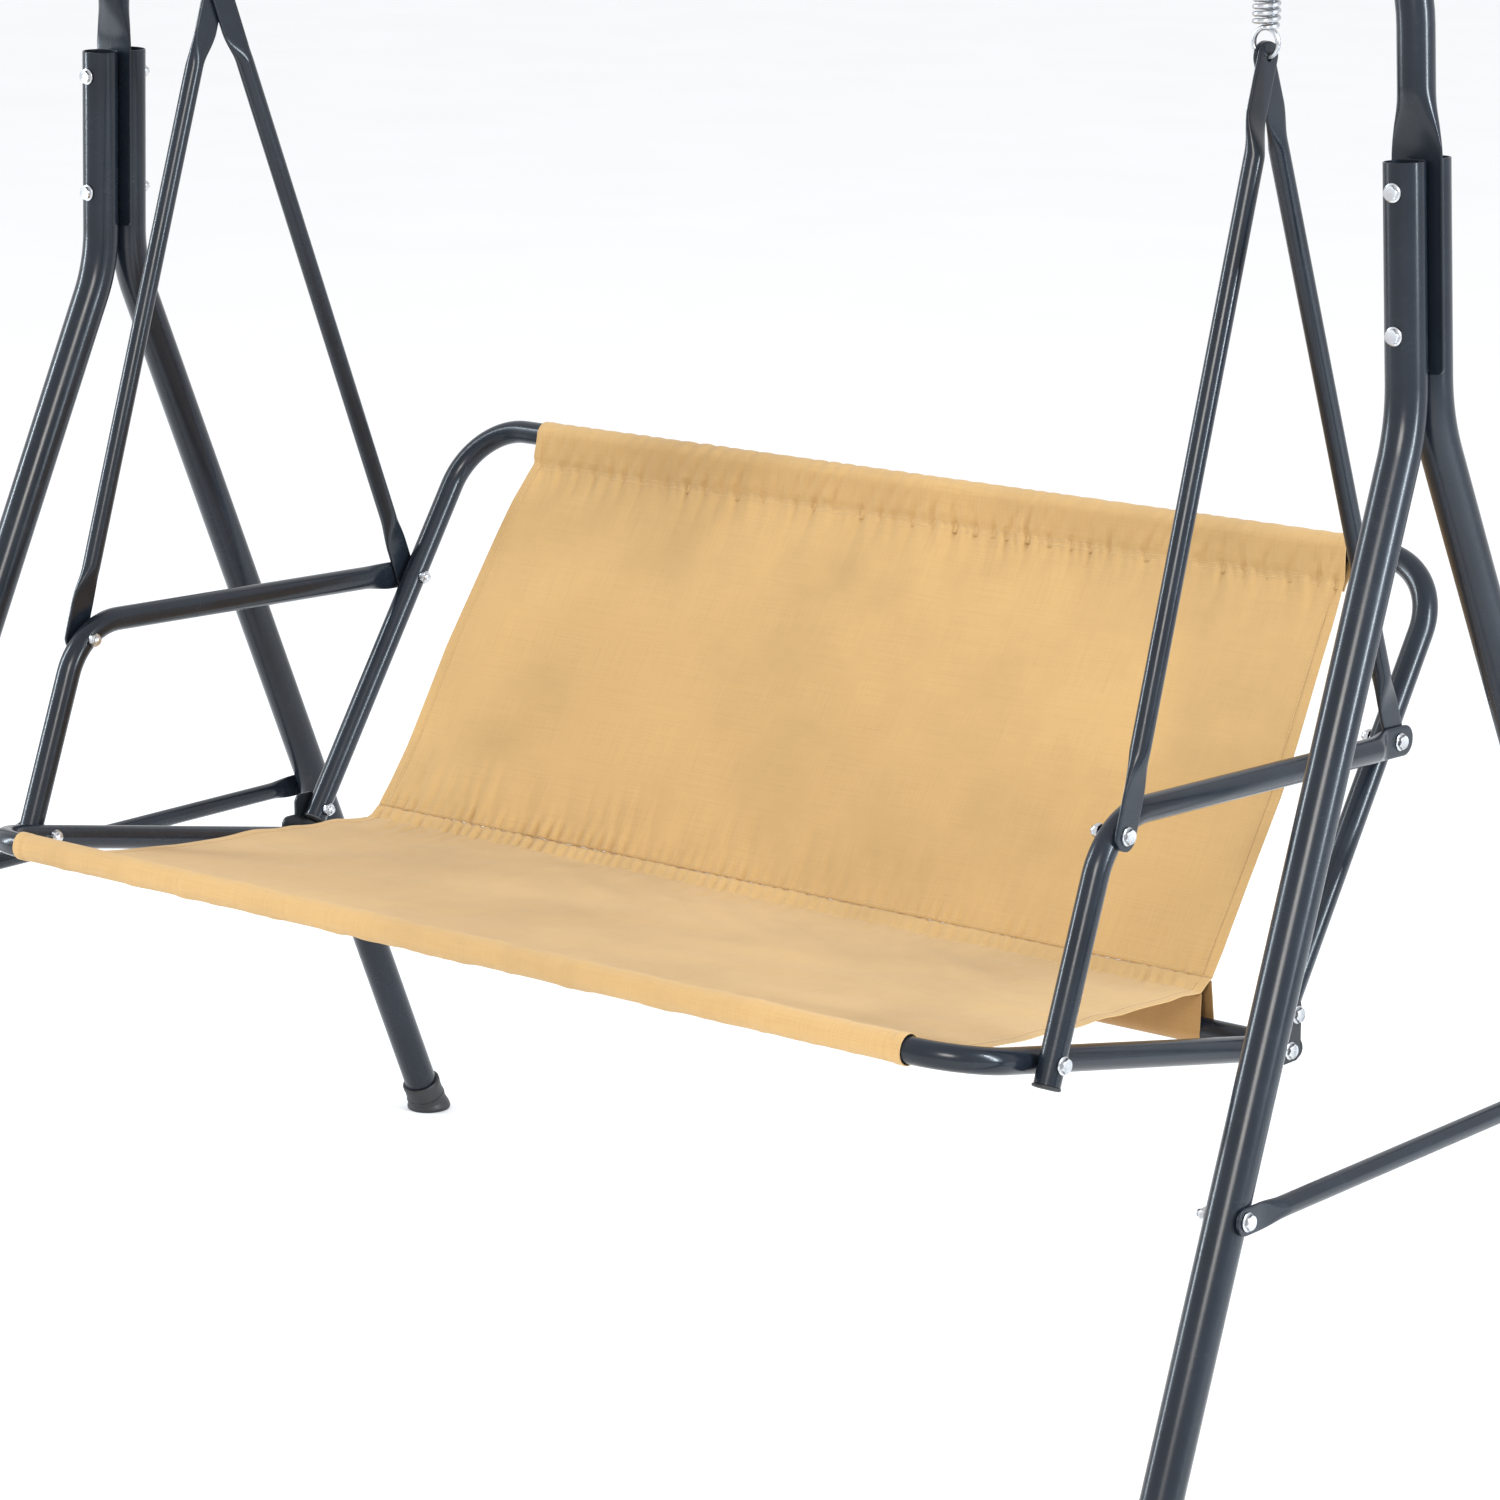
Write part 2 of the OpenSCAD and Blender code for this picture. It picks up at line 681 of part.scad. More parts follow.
// ---- sling ----

// extrudes an outline drawn in (Y, Z) across the sling
module across() {
    half = sling_front_half + 10;
    translate([-half, 0, 0]) rotate([90, 0, 90]) linear_extrude(2 * half) children();
}

// drop-shaped outline: a circle round c with straight sides to the tip
module drop(c, tip, r) {
    d = tip - c;
    a = atan2(d.y, d.x);
    b = acos(r / norm(d));
    translate(c) circle(r);
    polygon([tip, c + r * [cos(a + b), sin(a + b)], c, c + r * [cos(a - b), sin(a - b)]]);
}

module seat_panel() {
    top = [
        for (i = [0 : panel_steps])
            let (u = i / panel_steps) [panel_start.x + u * (seam_a.x - panel_start.x), panel_z(u)]
    ];
    under = [for (i = [panel_steps : -1 : 0]) top[i] - [0, cloth_t]];
    color(cloth_colour) intersection() {
        union() {
            across() translate(seat_front) ring_outline(2 * sleeve_out, cloth_t);
            across() polygon(concat(top, [seam_b], [seam_b - [0, cloth_t]], under));
        }
        linear_extrude(2 * seat_front.y) polygon([
            [-sling_front_half, seat_front.x - seat_d], [sling_front_half, seat_front.x - seat_d],
            [sling_front_half, seat_front.x], [sling_fold_half, seam_b.x + 10],
            [-sling_fold_half, seam_b.x + 10], [-sling_front_half, seat_front.x]
        ]);
    }
}

module back_panel() {
    top = [back_y(back_top_z), back_top_z];
    dir = unit(stitch - seam_b);
    side = cloth_t * [dir.y, -dir.x];
    low = seam_b + dir * 2 * small_gap;
    color(cloth_colour) intersection() {
        union() {
            across() polygon([low, stitch + 2 * dir, stitch + 2 * dir + side, low + side]);
            across() difference() {
                drop(top, stitch, sleeve_out);
                drop(top, stitch + 3 * unit(top - stitch), sleeve_in);
            }
        }
        translate([0, 2 * top.x, 0]) rotate([90, 0, 0]) linear_extrude(2 * top.x) polygon([
            [-sling_fold_half, seam_a.y - seat_d], [sling_fold_half, seam_a.y - seat_d],
            [sling_top_half + 2, stitch_z], [sling_top_half, top.y + seat_d],
            [-sling_top_half, top.y + seat_d], [-sling_top_half - 2, stitch_z]
        ]);
    }
}

// the sleeve round the rear cross tube, hanging from the two seams of the fold
module lower_sleeve() {
    c = [cross_y, seat_z(cross_y)];
    hang = [0, -cloth_t - small_gap];
    rise = (seam_b.y - seam_a.y) / (seam_b.x - seam_a.x);
    outer = [for (a = [172 : 9 : 370]) c + sleeve_out * [cos(a), sin(a)]];
    inner = [for (a = [370 : -9 : 172]) c + sleeve_in * [cos(a), sin(a)]];
    half = sling_fold_half;
    color(cloth_colour) translate([-half, 0, 0]) rotate([90, 0, 90]) linear_extrude(2 * half) polygon(concat(
        [seam_a + hang], outer, [seam_b + hang, seam_b + hang - cloth_t * [1, rise]],
        inner, [seam_a + hang + [cloth_t, 0]]
    ));
}

left() leg(-1);  // left_front_leg
leg(-1);  // right_front_leg
left() leg(1);  // left_rear_leg
leg(1);  // right_rear_leg
left() foot(-1);  // left_front_foot
foot(-1);  // right_front_foot
left() foot(1);  // left_rear_foot
foot(1);  // right_rear_foot
left() post();  // left_post
post();  // right_post
top_tube();
leg_joint_bolts();
leg_joint_nuts();
top_bar_bolts();
top_bar_nuts();
left() stabiliser();  // left_stabiliser
stabiliser();  // right_stabiliser
stabiliser_bolts();
stabiliser_nuts();
eye_bolts();
eye_bolt_nuts();
left() spring_eye();  // left_spring_eye
spring_eye();  // right_spring_eye
left() spring_coil();  // left_spring_coil
spring_coil();  // right_spring_coil
left() spring_hook();  // left_spring_hook
spring_hook();  // right_spring_hook
left() front_rod();  // left_front_rod
front_rod();  // right_front_rod
left() rear_rod();  // left_rear_rod
rear_rod();  // right_rear_rod
seat_frame();
back_frame();
rear_cross_tube();
left() armrest();  // left_armrest
armrest();  // right_armrest
left() hinge_plate();  // left_hinge_plate
hinge_plate();  // right_hinge_plate
armrest_plugs();
seat_tube_plugs();
back_tube_plugs();
front_rod_bolts();
rear_rod_bolts();
armrest_bolts();
hinge_bolts();
hinge_screws();
seat_nuts();
seat_panel();
back_panel();
lower_sleeve();
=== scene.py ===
"""Bench swing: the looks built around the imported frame. Lengths are in metres, and the front is -Y."""
import json
import math

import bpy
from mathutils import Matrix, Vector, noise

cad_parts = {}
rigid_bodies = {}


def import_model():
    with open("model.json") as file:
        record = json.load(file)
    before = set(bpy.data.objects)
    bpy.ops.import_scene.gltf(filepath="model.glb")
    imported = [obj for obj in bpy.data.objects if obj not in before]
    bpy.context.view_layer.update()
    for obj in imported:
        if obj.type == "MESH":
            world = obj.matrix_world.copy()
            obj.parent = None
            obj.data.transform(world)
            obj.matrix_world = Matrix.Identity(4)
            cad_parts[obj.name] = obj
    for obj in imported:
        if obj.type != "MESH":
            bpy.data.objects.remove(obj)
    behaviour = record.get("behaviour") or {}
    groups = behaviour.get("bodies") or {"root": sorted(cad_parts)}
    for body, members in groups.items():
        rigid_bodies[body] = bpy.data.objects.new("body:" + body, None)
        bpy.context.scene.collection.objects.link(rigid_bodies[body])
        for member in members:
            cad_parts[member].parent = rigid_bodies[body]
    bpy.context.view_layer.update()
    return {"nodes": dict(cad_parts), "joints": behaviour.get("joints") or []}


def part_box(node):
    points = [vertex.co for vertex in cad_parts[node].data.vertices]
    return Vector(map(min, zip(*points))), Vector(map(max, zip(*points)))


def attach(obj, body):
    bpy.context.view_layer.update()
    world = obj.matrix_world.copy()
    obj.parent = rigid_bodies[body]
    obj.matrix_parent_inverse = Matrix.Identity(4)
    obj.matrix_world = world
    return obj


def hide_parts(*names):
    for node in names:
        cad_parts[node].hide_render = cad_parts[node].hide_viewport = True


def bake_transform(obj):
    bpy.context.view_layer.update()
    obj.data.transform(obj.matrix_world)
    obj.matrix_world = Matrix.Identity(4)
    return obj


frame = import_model()

# ---------------------------------------------------------------- sizes

# tubes: outer radius and wall
LEG_R = 0.019
POST_R = 0.017
SEAT_R = 0.0125
ROD_R = 0.0095
FRAME_WALL = 0.0015
SEAT_WALL = 0.0012
# flattened ends: width and thickness
ROD_PLATE = (0.029, 0.004)
POST_PLATE = (0.052, 0.0028)
STABILISER_PLATE = (0.025, 0.003)
ARM_PLATE = (0.03, 0.004)
FLAT_POWER = 6.5  # shape of a flat bar's section, where 2 is an ellipse
PLATE_TIP_R = 0.013  # rounding of a rod's or armrest's flattened tip
# bends, along a tube's axis
LEG_BEND_R = 0.17
POST_BEND_R = 0.17
ARM_BEND_R = 0.075
SEAT_BEND_R = 0.06
BACK_BEND_R = 0.075
# A-frame
LEG_BEND_Z = 1.092
FOOT_Y = 0.517  # from the middle to a leg's axis on the ground
LEAN = math.radians(2.39)  # of the legs, inwards
# seat and armrests
SEAT_SLOPE = 0.2  # fall of the seat tubes for each metre towards the rear
ARM_CORNER = (-0.223, 0.7476)  # y and z where the lines of an armrest's two runs meet
ARM_SLOPE = 0.3856  # how far an armrest's lower run goes back for each metre up
ARM_END_Z = 0.521
BOLT_HEAD = 0.005  # height of a bolt's head
HOLE_R = 0.0042  # the hook's hole in a hanger rod
# sling
CLOTH_T = 0.0011
SLEEVE_R = SEAT_R + 0.0009  # from a tube's axis to the middle of the cloth round it
SEAT_SAG = 0.048  # scale of the seat panel's sag
HEM = 0.017  # the turned edge as a share of the sling's half width
FRONT_HALF = 0.576  # half the sling's width at the front tube
FOLD_HALF = 0.553
WAIST_Z = 0.669  # where the back panel starts to narrow, and its half width there
WAIST_HALF = 0.552
STITCH_HALF = 0.5365
TOP_HALF = 0.5345

# ---------------------------------------------------------------- places, from the frame

JOINTS = {j["name"]: j for j in frame["joints"]}
SWING = Vector(JOINTS["right_swing"]["pos_m"])  # pivot in the eye bolt
HOOK = Vector((SWING.x, 0, JOINTS["seat_pivot"]["pos_m"][2]))  # pivot in the hangers' holes


def middle(node):
    low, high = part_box(node)
    return (low + high) / 2


def islands(node):
    """(lowest, highest) corner of each solid of a CAD node, from left to right and from low to high."""
    mesh = frame["nodes"][node].data
    parent = {}

    def root(k):
        while parent.setdefault(k, k) != k:
            k = parent[k]
        return k

    keys = [tuple(round(c, 5) for c in v.co) for v in mesh.vertices]
    for face in mesh.polygons:
        first = root(keys[face.vertices[0]])
        for i in face.vertices[1:]:
            parent[root(keys[i])] = first
    groups = {}
    for k in keys:
        groups.setdefault(root(k), []).append(k)
    boxes = [(Vector(map(min, zip(*g))), Vector(map(max, zip(*g)))) for g in groups.values()]
    return sorted(boxes, key=lambda b: (round(b[0].x, 3), round(b[0].z, 3)))


# ---------------------------------------------------------------- node materials


class Nodes:
    """Short calls that build a material's node tree."""

    def __init__(self, name):
        self.material = bpy.data.materials.new(name)
        self.material.use_nodes = True
        self.tree = self.material.node_tree
        self.shader = self.tree.nodes["Principled BSDF"]

    def add(self, kind, **values):
        node = self.tree.nodes.new(kind)
        for key, value in values.items():
            if hasattr(node, key):
                setattr(node, key, value)
            else:
                node.inputs[key.replace("_", " ").title()].default_value = value
        return node

    def link(self, a, b):
        self.tree.links.new(a, b)

    def set(self, **values):
        for key, value in values.items():
            self.shader.inputs[key.replace("_", " ").title()].default_value = value

    def noise(self, scale, detail=4.0, roughness=0.5, vector=None, stretch=None):
        """Noise over the object's own coordinates, or over another vector, optionally stretched."""
        if vector is None:
            vector = self.add("ShaderNodeTexCoord").outputs["Object"]
        if stretch:
            mapping = self.add("ShaderNodeMapping")
            mapping.inputs["Scale"].default_value = stretch
            self.link(vector, mapping.inputs["Vector"])
            vector = mapping.outputs["Vector"]
        node = self.add("ShaderNodeTexNoise", scale=scale, detail=detail, roughness=roughness)
        self.link(vector, node.inputs["Vector"])
        return node.outputs["Fac"]

    def ramp(self, value, *stops):
        """A colour ramp: stops are (place, colour)."""
        node = self.add("ShaderNodeValToRGB")
        ramp = node.color_ramp
        while len(ramp.elements) < len(stops):
            ramp.elements.new(0.5)
        for element, (place, colour) in zip(ramp.elements, stops):
            element.position = place
            element.color = (*colour, 1)
        self.link(value, node.inputs["Fac"])
        return node.outputs["Color"]

    def grey(self, value, low, high, from_low=0.3, from_high=0.7):
        """value mapped from one range to another, clamped."""
        node = self.add("ShaderNodeMapRange")
        for key, v in (("From Min", from_low), ("From Max", from_high), ("To Min", low), ("To Max", high)):
            node.inputs[key].default_value = v
        self.link(value, node.inputs["Value"])
        return node.outputs["Result"]

    def math(self, operation, a, b=None):
        node = self.add("ShaderNodeMath", operation=operation)
        for socket, value in zip(node.inputs, (a, b)):
            if value is None:
                continue
            if isinstance(value, (int, float)):
                socket.default_value = value
            else:
                self.link(value, socket)
        return node.outputs["Value"]

    def mix(self, factor, a, b):
        """A mix of two colours, each a tuple or a socket, by a factor's socket."""
        node = self.tree.nodes.new("ShaderNodeMix")
        node.data_type = "RGBA"
        self.link(factor, node.inputs["Factor"])
        colours = [socket for socket in node.inputs if socket.type == "RGBA"]
        for socket, value in zip(colours, (a, b)):
            if isinstance(value, tuple):
                socket.default_value = (*value, 1)
            else:
                self.link(value, socket)
        return [socket for socket in node.outputs if socket.type == "RGBA"][0]

    def bump(self, height, strength, distance, before=None):
        node = self.add("ShaderNodeBump")
        node.inputs["Strength"].default_value = strength
        node.inputs["Distance"].default_value = distance
        self.link(height, node.inputs["Height"])
        if before:
            self.link(before, node.inputs["Normal"])
        return node.outputs["Normal"]

    def colour(self, socket):
        self.link(socket, self.shader.inputs["Base Color"])

    def rough(self, socket):
        self.link(socket, self.shader.inputs["Roughness"])

    def normal(self, socket):
        self.link(socket, self.shader.inputs["Normal"])


def powder_coat(name, dark, light, gloss):
    """Graphite powder coat: fine orange peel, uneven gloss and a little dust."""
    m = Nodes(name)
    m.set(metallic=0.0, coat_weight=0.10, coat_roughness=0.16)
    m.shader.inputs["Specular IOR Level"].default_value = 0.28
    cloudy = m.noise(9, 5, 0.6)
    dust = m.noise(60, 8, 0.75)
    paint = m.ramp(cloudy, (0.3, dark), (0.75, light))
    m.colour(m.mix(m.grey(dust, 0, 0.35, 0.58, 0.8), paint, (0.045, 0.05, 0.055)))
    m.rough(m.grey(m.math("ADD", cloudy, m.math("MULTIPLY", dust, 0.4)), gloss - 0.05, gloss + 0.1, 0.4, 1.0))
    peel = m.bump(m.noise(900, 2, 0.5), 0.07, 0.0003)
    m.normal(m.bump(m.noise(140, 3, 0.5), 0.04, 0.0010, peel))
    return m.material


def zinc(name, tint, roughness):
    """Zinc plate: a faint spangle, fine scratches and duller spots."""
    m = Nodes(name)
    m.set(metallic=1.0)
    cells = m.add("ShaderNodeTexVoronoi", scale=420.0)
    m.link(m.add("ShaderNodeTexCoord").outputs["Object"], cells.inputs["Vector"])
    spangle = m.grey(cells.outputs["Distance"], 0, 1, 0, 0.9)
    spots = m.noise(130, 6, 0.7)
    dull = tuple(0.62 * c for c in tint)
    plate = m.mix(m.math("MULTIPLY", spangle, 0.3), tint, dull)
    m.colour(m.mix(m.grey(spots, 0, 0.8, 0.5, 0.75), plate, dull))
    m.rough(m.grey(spots, roughness, roughness + 0.22, 0.35, 0.7))
    m.normal(m.bump(m.noise(1500, 2, 0.6, stretch=(1, 1, 0.15)), 0.15, 0.0002))
    return m.material


def plastic(name):
    """Black moulded plastic with a fine grain and scuffs."""
    m = Nodes(name)
    grain = m.noise(2200, 2, 0.5)
    scuffs = m.noise(70, 7, 0.75)
    black, worn, scuffed = (0.011, 0.011, 0.012), (0.02, 0.02, 0.021), (0.06, 0.06, 0.058)
    m.colour(m.ramp(scuffs, (0.35, black), (0.62, worn), (0.8, scuffed)))
    m.rough(m.grey(scuffs, 0.42, 0.66, 0.35, 0.7))
    m.normal(m.bump(grain, 0.25, 0.0003))
    return m.material


def canvas(name, warm, shade):
    """Woven canvas. The cloth's own UVs are metres across and along the weave."""
    m = Nodes(name)
    m.set(sheen_weight=0.1, sheen_roughness=0.5)
    m.shader.inputs["Specular IOR Level"].default_value = 0.25
    uv = m.add("ShaderNodeTexCoord").outputs["UV"]
    split = m.add("ShaderNodeSeparateXYZ")
    m.link(uv, split.inputs["Vector"])
    thread = 0.0011
    pitch = 2 * math.pi / thread
    wobble = m.math("MULTIPLY", m.noise(260, 3, 0.6, uv), 1.6)
    across = m.math("ADD", m.math("MULTIPLY", split.outputs["X"], pitch), wobble)
    along = m.math("ADD", m.math("MULTIPLY", split.outputs["Y"], pitch), wobble)
    threads = m.math("MULTIPLY", m.math("SINE", across), m.math("SINE", along))
    slubs_x = m.noise(1, 5, 0.65, uv, stretch=(12, 700, 1))
    slubs_y = m.noise(1, 5, 0.65, uv, stretch=(700, 12, 1))
    cloudy = m.noise(3.2, 5, 0.6, uv)
    base = m.ramp(cloudy, (0.3, shade), (0.55, warm), (0.8, tuple(1.05 * c for c in warm)))
    slubs = m.math("ADD", slubs_x, slubs_y)
    worn = m.mix(m.grey(slubs, 0, 0.28, 0.95, 1.3), base, tuple(0.74 * c for c in shade))
    m.colour(m.mix(m.grey(threads, 0, 0.16, -1, 1), worn, tuple(0.70 * c for c in warm)))
    m.rough(m.grey(cloudy, 0.78, 0.92))
    weave = m.bump(threads, 0.35, 0.00022)
    m.normal(m.bump(slubs, 0.25, 0.0004, weave))
    return m.material


def thread_material(name, colour):
    """Polyester sewing thread with a fine twist."""
    m = Nodes(name)
    m.set(sheen_weight=0.3)
    twist = m.noise(2500, 2, 0.5, stretch=(0.3, 1, 1))
    m.colour(m.ramp(twist, (0.3, tuple(0.7 * c for c in colour)), (0.7, colour)))
    m.rough(m.grey(twist, 0.5, 0.7))
    return m.material


STEEL = powder_coat("powder_coat", (0.007, 0.0095, 0.0145), (0.011, 0.0155, 0.023), 0.22)
FLAT_STEEL = powder_coat("powder_coat_flat", (0.008, 0.0095, 0.012), (0.012, 0.014, 0.017), 0.34)
BOLT = zinc("bright_zinc", (0.60, 0.61, 0.63), 0.2)
SPRING_WIRE = zinc("spring_zinc", (0.50, 0.51, 0.53), 0.24)
PLASTIC = plastic("black_plastic")
CANVAS = canvas("tan_canvas", (0.525, 0.330, 0.136), (0.42, 0.264, 0.108))
# the lower sleeve's canvas is the same cloth in darker, browner colours: painted shade for its place under
# the seat
SHADED_LOWER_CANVAS = canvas("painted_shade_canvas", (0.345, 0.195, 0.072), (0.29, 0.162, 0.06))
THREAD = thread_material("thread", (0.62, 0.42, 0.2))

# ---------------------------------------------------------------- mesh tools


def piece(name, verts, faces, material, body, slot, replaces=(), sharp=38, uvs=None):
    """Makes a mesh piece, smooth but for edges sharper than an angle in degrees, and rides it on a body."""
    mesh = bpy.data.meshes.new(name)
    mesh.from_pydata([tuple(v) for v in verts], [], faces)
    if uvs:
        layer = mesh.uv_layers.new(name="UVMap")
        for loop in mesh.loops:
            layer.data[loop.index].uv = uvs[loop.vertex_index]
    mesh.validate()
    mesh.shade_smooth()
    mesh.set_sharp_from_angle(angle=math.radians(sharp))
    obj = bpy.data.objects.new(name, mesh)
    bpy.context.scene.collection.objects.link(obj)
    mesh.materials.append(material)
    if body:
        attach(obj, body)
    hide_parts(*replaces)
    return obj


def mirrored(verts):
    return [Vector((-v.x, v.y, v.z)) for v in verts]


def side_pieces(name, verts, faces, material, body, slot, nodes):
    """The right piece and its mirror image on the left. body and nodes may hold {side}."""
    for side in ("right", "left"):
        right = side == "right"
        piece(
            name.format(side=side), verts if right else mirrored(verts),
            faces if right else [tuple(reversed(f)) for f in faces], material,
            body.format(side=side), slot, [n.format(side=side) for n in nodes],
        )


def bent_path(points, radius, steps=14):
    """Points along straight stretches joined by arcs."""
    out = [points[0]]
    for a, b, c in zip(points, points[1:], points[2:]):
        u, v = (b - a).normalized(), (c - b).normalized()
        angle = u.angle(v)
        start = b - u * radius * math.tan(angle / 2)
        n = (v - u * u.dot(v)).normalized()
        for i in range(steps + 1):
            t = angle * i / steps
            out.append(start + n * radius * (1 - math.cos(t)) + u * radius * math.sin(t))
    out.append(points[-1])
    return out


def ring(centre, wide, thick, half_w, half_t, power=2.0, count=40):
    """A section's points: a circle at power 2, a flat bar with rounded edges at a higher power."""
    out = []
    for i in range(count):
        a = 2 * math.pi * i / count
        c, s = math.cos(a), math.sin(a)
        x = half_w * math.copysign(abs(c) ** (2 / power), c)
        y = half_t * math.copysign(abs(s) ** (2 / power), s)
        out.append(centre + wide * x + thick * y)
    return out


def skin(rings, close_start=True, close_end=True):
    """Quads between rings of equal length, with end faces."""
    n = len(rings[0])
    verts = [v for r in rings for v in r]
    faces = []
    for i in range(len(rings) - 1):
        for k in range(n):
            a, b = i * n + k, i * n + (k + 1) % n
            faces.append((a, b, b + n, a + n))
    if close_start:
        faces.append(tuple(reversed(range(n))))
    if close_end:
        faces.append(tuple(range(len(verts) - n, len(verts))))
    return verts, faces


def join(*parts):
    """One list of vertices and faces from several (verts, faces)."""
    verts, faces = [], []
    for v, f in parts:
        base = len(verts)
        verts += v
        faces += [tuple(i + base for i in face) for face in f]
    return verts, faces


def tangents(path):
    out = []
    for i in range(len(path)):
        a = path[max(i - 1, 0)]
        b = path[min(i + 1, len(path) - 1)]
        out.append((b - a).normalized())
    return out


def mouth(end, out, wide, thick, r, wall):
    """Rings of a tube's open end: the outer edge, the rim and the inside. They run from outside to inside."""
    rim = 0.0004
    depth = 0.03
    return [
        ring(end - out * rim, wide, thick, r, r),
        ring(end, wide, thick, r - rim, r - rim),
        ring(end, wide, thick, r - wall + rim, r - wall + rim),
        ring(end - out * rim, wide, thick, r - wall, r - wall),
        ring(end - out * depth, wide, thick, r - wall, r - wall),
    ]


def tube(path, r, flat_normal, wall=SEAT_WALL, open_start=False, open_end=False):
    """Round tube along a path that lies in the plane square to flat_normal."""
    rings = []
    directions = tangents(path)
    for p, d in zip(path, directions):
        rings.append(ring(p, d.cross(flat_normal).normalized(), flat_normal, r, r))
    if open_start:
        d = -directions[0]
        rings = list(reversed(mouth(path[0], d, (-d).cross(flat_normal), flat_normal, r, wall))) + rings[1:]
    if open_end:
        d = directions[-1]
        rings = rings[:-1] + mouth(path[-1], d, d.cross(flat_normal), flat_normal, r, wall)
    return rings


def flattened(path_end, direction, wide, thick, r, plate, neck, length, shift, tip_r):
    """Rings of a tube's pressed end: round at path_end, then a neck, a flat plate and its rounded tip.

    shift is how far the plate lies off the tube's axis, along thick."""
    w, t = plate[0] / 2, plate[1] / 2
    rings = []
    steps = 14
    for i in range(1, steps + 1):
        u = i / steps
        s = u * u * (3 - 2 * u)
        power = 2 + (FLAT_POWER - 2) * s ** 2
        rings.append(ring(
            path_end + direction * neck * u + thick * shift * s, wide, thick,
            r + (w - r) * s, r + (t - r) * (1 - (1 - s) ** 1.35), power,
        ))
    base = path_end + direction * neck + thick * shift
    straight = length - tip_r
    rings.append(ring(base + direction * straight, wide, thick, w, t, FLAT_POWER))
    steps = 8
    for i in range(1, steps + 1):
        a = math.pi / 2 * i / steps
        at = base + direction * (straight + tip_r * math.sin(a))
        half = max(w - tip_r + tip_r * math.cos(a), 0.001)
        rings.append(ring(at, wide, thick, half, t if i < steps else t * 0.8, FLAT_POWER))
    return rings


def line(a, b, steps):
    """Points from a to b, without b."""
    return [a.lerp(b, i / steps) for i in range(steps)]


# ---------------------------------------------------------------- A-frame


def side_point(y, z):
    """A point in the plane of the right side's legs."""
    low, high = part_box("right_front_leg")
    return Vector((low.x + LEG_R + (high.z - z) * math.tan(LEAN), y, z))


OUT = Vector((math.cos(LEAN), 0, math.sin(LEAN)))  # square to the right side's plane
LEG_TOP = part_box("right_front_leg")[1].z
LEG_TOP_Y = -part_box("right_front_leg")[1].y + LEG_R  # from the middle to a leg's upright axis
LEG_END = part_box("right_front_leg")[0].z + 0.0075  # the axis ends above the lowest edge of its square cut


def leg_points(s):
    """Axis of the front (s = -1) or rear (s = 1) leg: its foot end, bend and top."""
    bend = side_point(s * LEG_TOP_Y, LEG_BEND_Z)
    ground = side_point(s * FOOT_Y, 0)
    return ground.lerp(bend, LEG_END / LEG_BEND_Z), bend, side_point(s * LEG_TOP_Y, LEG_TOP)


def make_legs():
    for s, end in ((-1, "front"), (1, "rear")):
        low, bend, top = leg_points(s)
        path = bent_path([low, bend, top], LEG_BEND_R)
        rings = tube(path, LEG_R, OUT, FRAME_WALL, open_end=True)
        name = "{side}_%s_leg" % end
        side_pieces(name + "_tube", *skin(rings), STEEL, "frame", "dark_steel", [name])


def make_feet():
    """Moulded caps: a flared base with a rounded edge, and a ribbed collar along the leg."""
    for s, end in ((-1, "front"), (1, "rear")):
        bend = leg_points(s)[1]
        ground = side_point(s * FOOT_Y, 0)
        d = (bend - ground).normalized()
        x, y = Vector((1, 0, 0)), Vector((0, 1, 0))
        base = Vector((ground.x, ground.y, 0)) + Vector((d.x, d.y, 0)) * 0.005
        flare = [
            (0.0, 0.0235), (0.0006, 0.0252), (0.002, 0.026), (0.0048, 0.026), (0.0065, 0.0254),
            (0.0095, 0.0242),
        ]
        rings = [ring(base + Vector((0, 0, z)), x, y, r, r, count=48) for z, r in flare]
        collar = [
            (0.0125, 0.0232), (0.017, 0.0226), (0.0175, 0.0232), (0.0205, 0.0232), (0.021, 0.0224),
            (0.0355, 0.0221), (0.036, 0.0227), (0.0405, 0.0227), (0.0418, 0.0217), (0.0418, 0.0192),
            (0.036, 0.0191),
        ]
        turn_h = 0.024  # height by which the collar has turned from upright to the leg's direction
        for h, r in collar:
            tilt = min(1, h / turn_h)
            up = Vector((0, 0, 1)).lerp(d, tilt).normalized()
            a = Vector((1, 0, 0)).lerp(OUT, tilt)
            a = (a - up * up.dot(a)).normalized()
            rings.append(ring(ground + d * h, a, up.cross(a), r, r, count=48))
        name = "{side}_%s_foot" % end
        side_pieces(name + "_cap", *skin(rings), PLASTIC, "frame", "black_plastic", [name])


def make_posts():
    """Bent ends of the top bar, pressed flat between the legs."""
    bar = middle("top_tube")
    neck = 0.064
    start, corner = side_point(0, LEG_TOP + neck), side_point(0, bar.z)
    inner = Vector((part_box("right_post")[0].x, 0, bar.z))
    y = Vector((0, 1, 0))
    path = bent_path([start, corner, inner], POST_BEND_R, 22)
    rings = tube(path, POST_R, y, FRAME_WALL, open_end=True)
    down = (start - corner).normalized()
    wide = (path[1] - path[0]).normalized().cross(y).normalized()
    plate_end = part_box("right_post")[0].z
    pressed = flattened(start, down, wide, y, POST_R, POST_PLATE, neck, LEG_TOP - plate_end, 0, 0.006)
    rings = list(reversed(pressed)) + rings
    side_pieces("{side}_bar_end", *skin(rings), STEEL, "frame", "dark_steel", ["{side}_post"])
    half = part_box("top_tube")[1].x
    left, right = Vector((-half, 0, bar.z)), Vector((half, 0, bar.z))
    path = line(left, right, round(2 * half / 0.2)) + [right]
    rings = tube(path, LEG_R, y, FRAME_WALL, open_start=True, open_end=True)
    piece("top_bar_tube", *skin(rings), STEEL, "frame", "dark_steel", ["top_tube"])


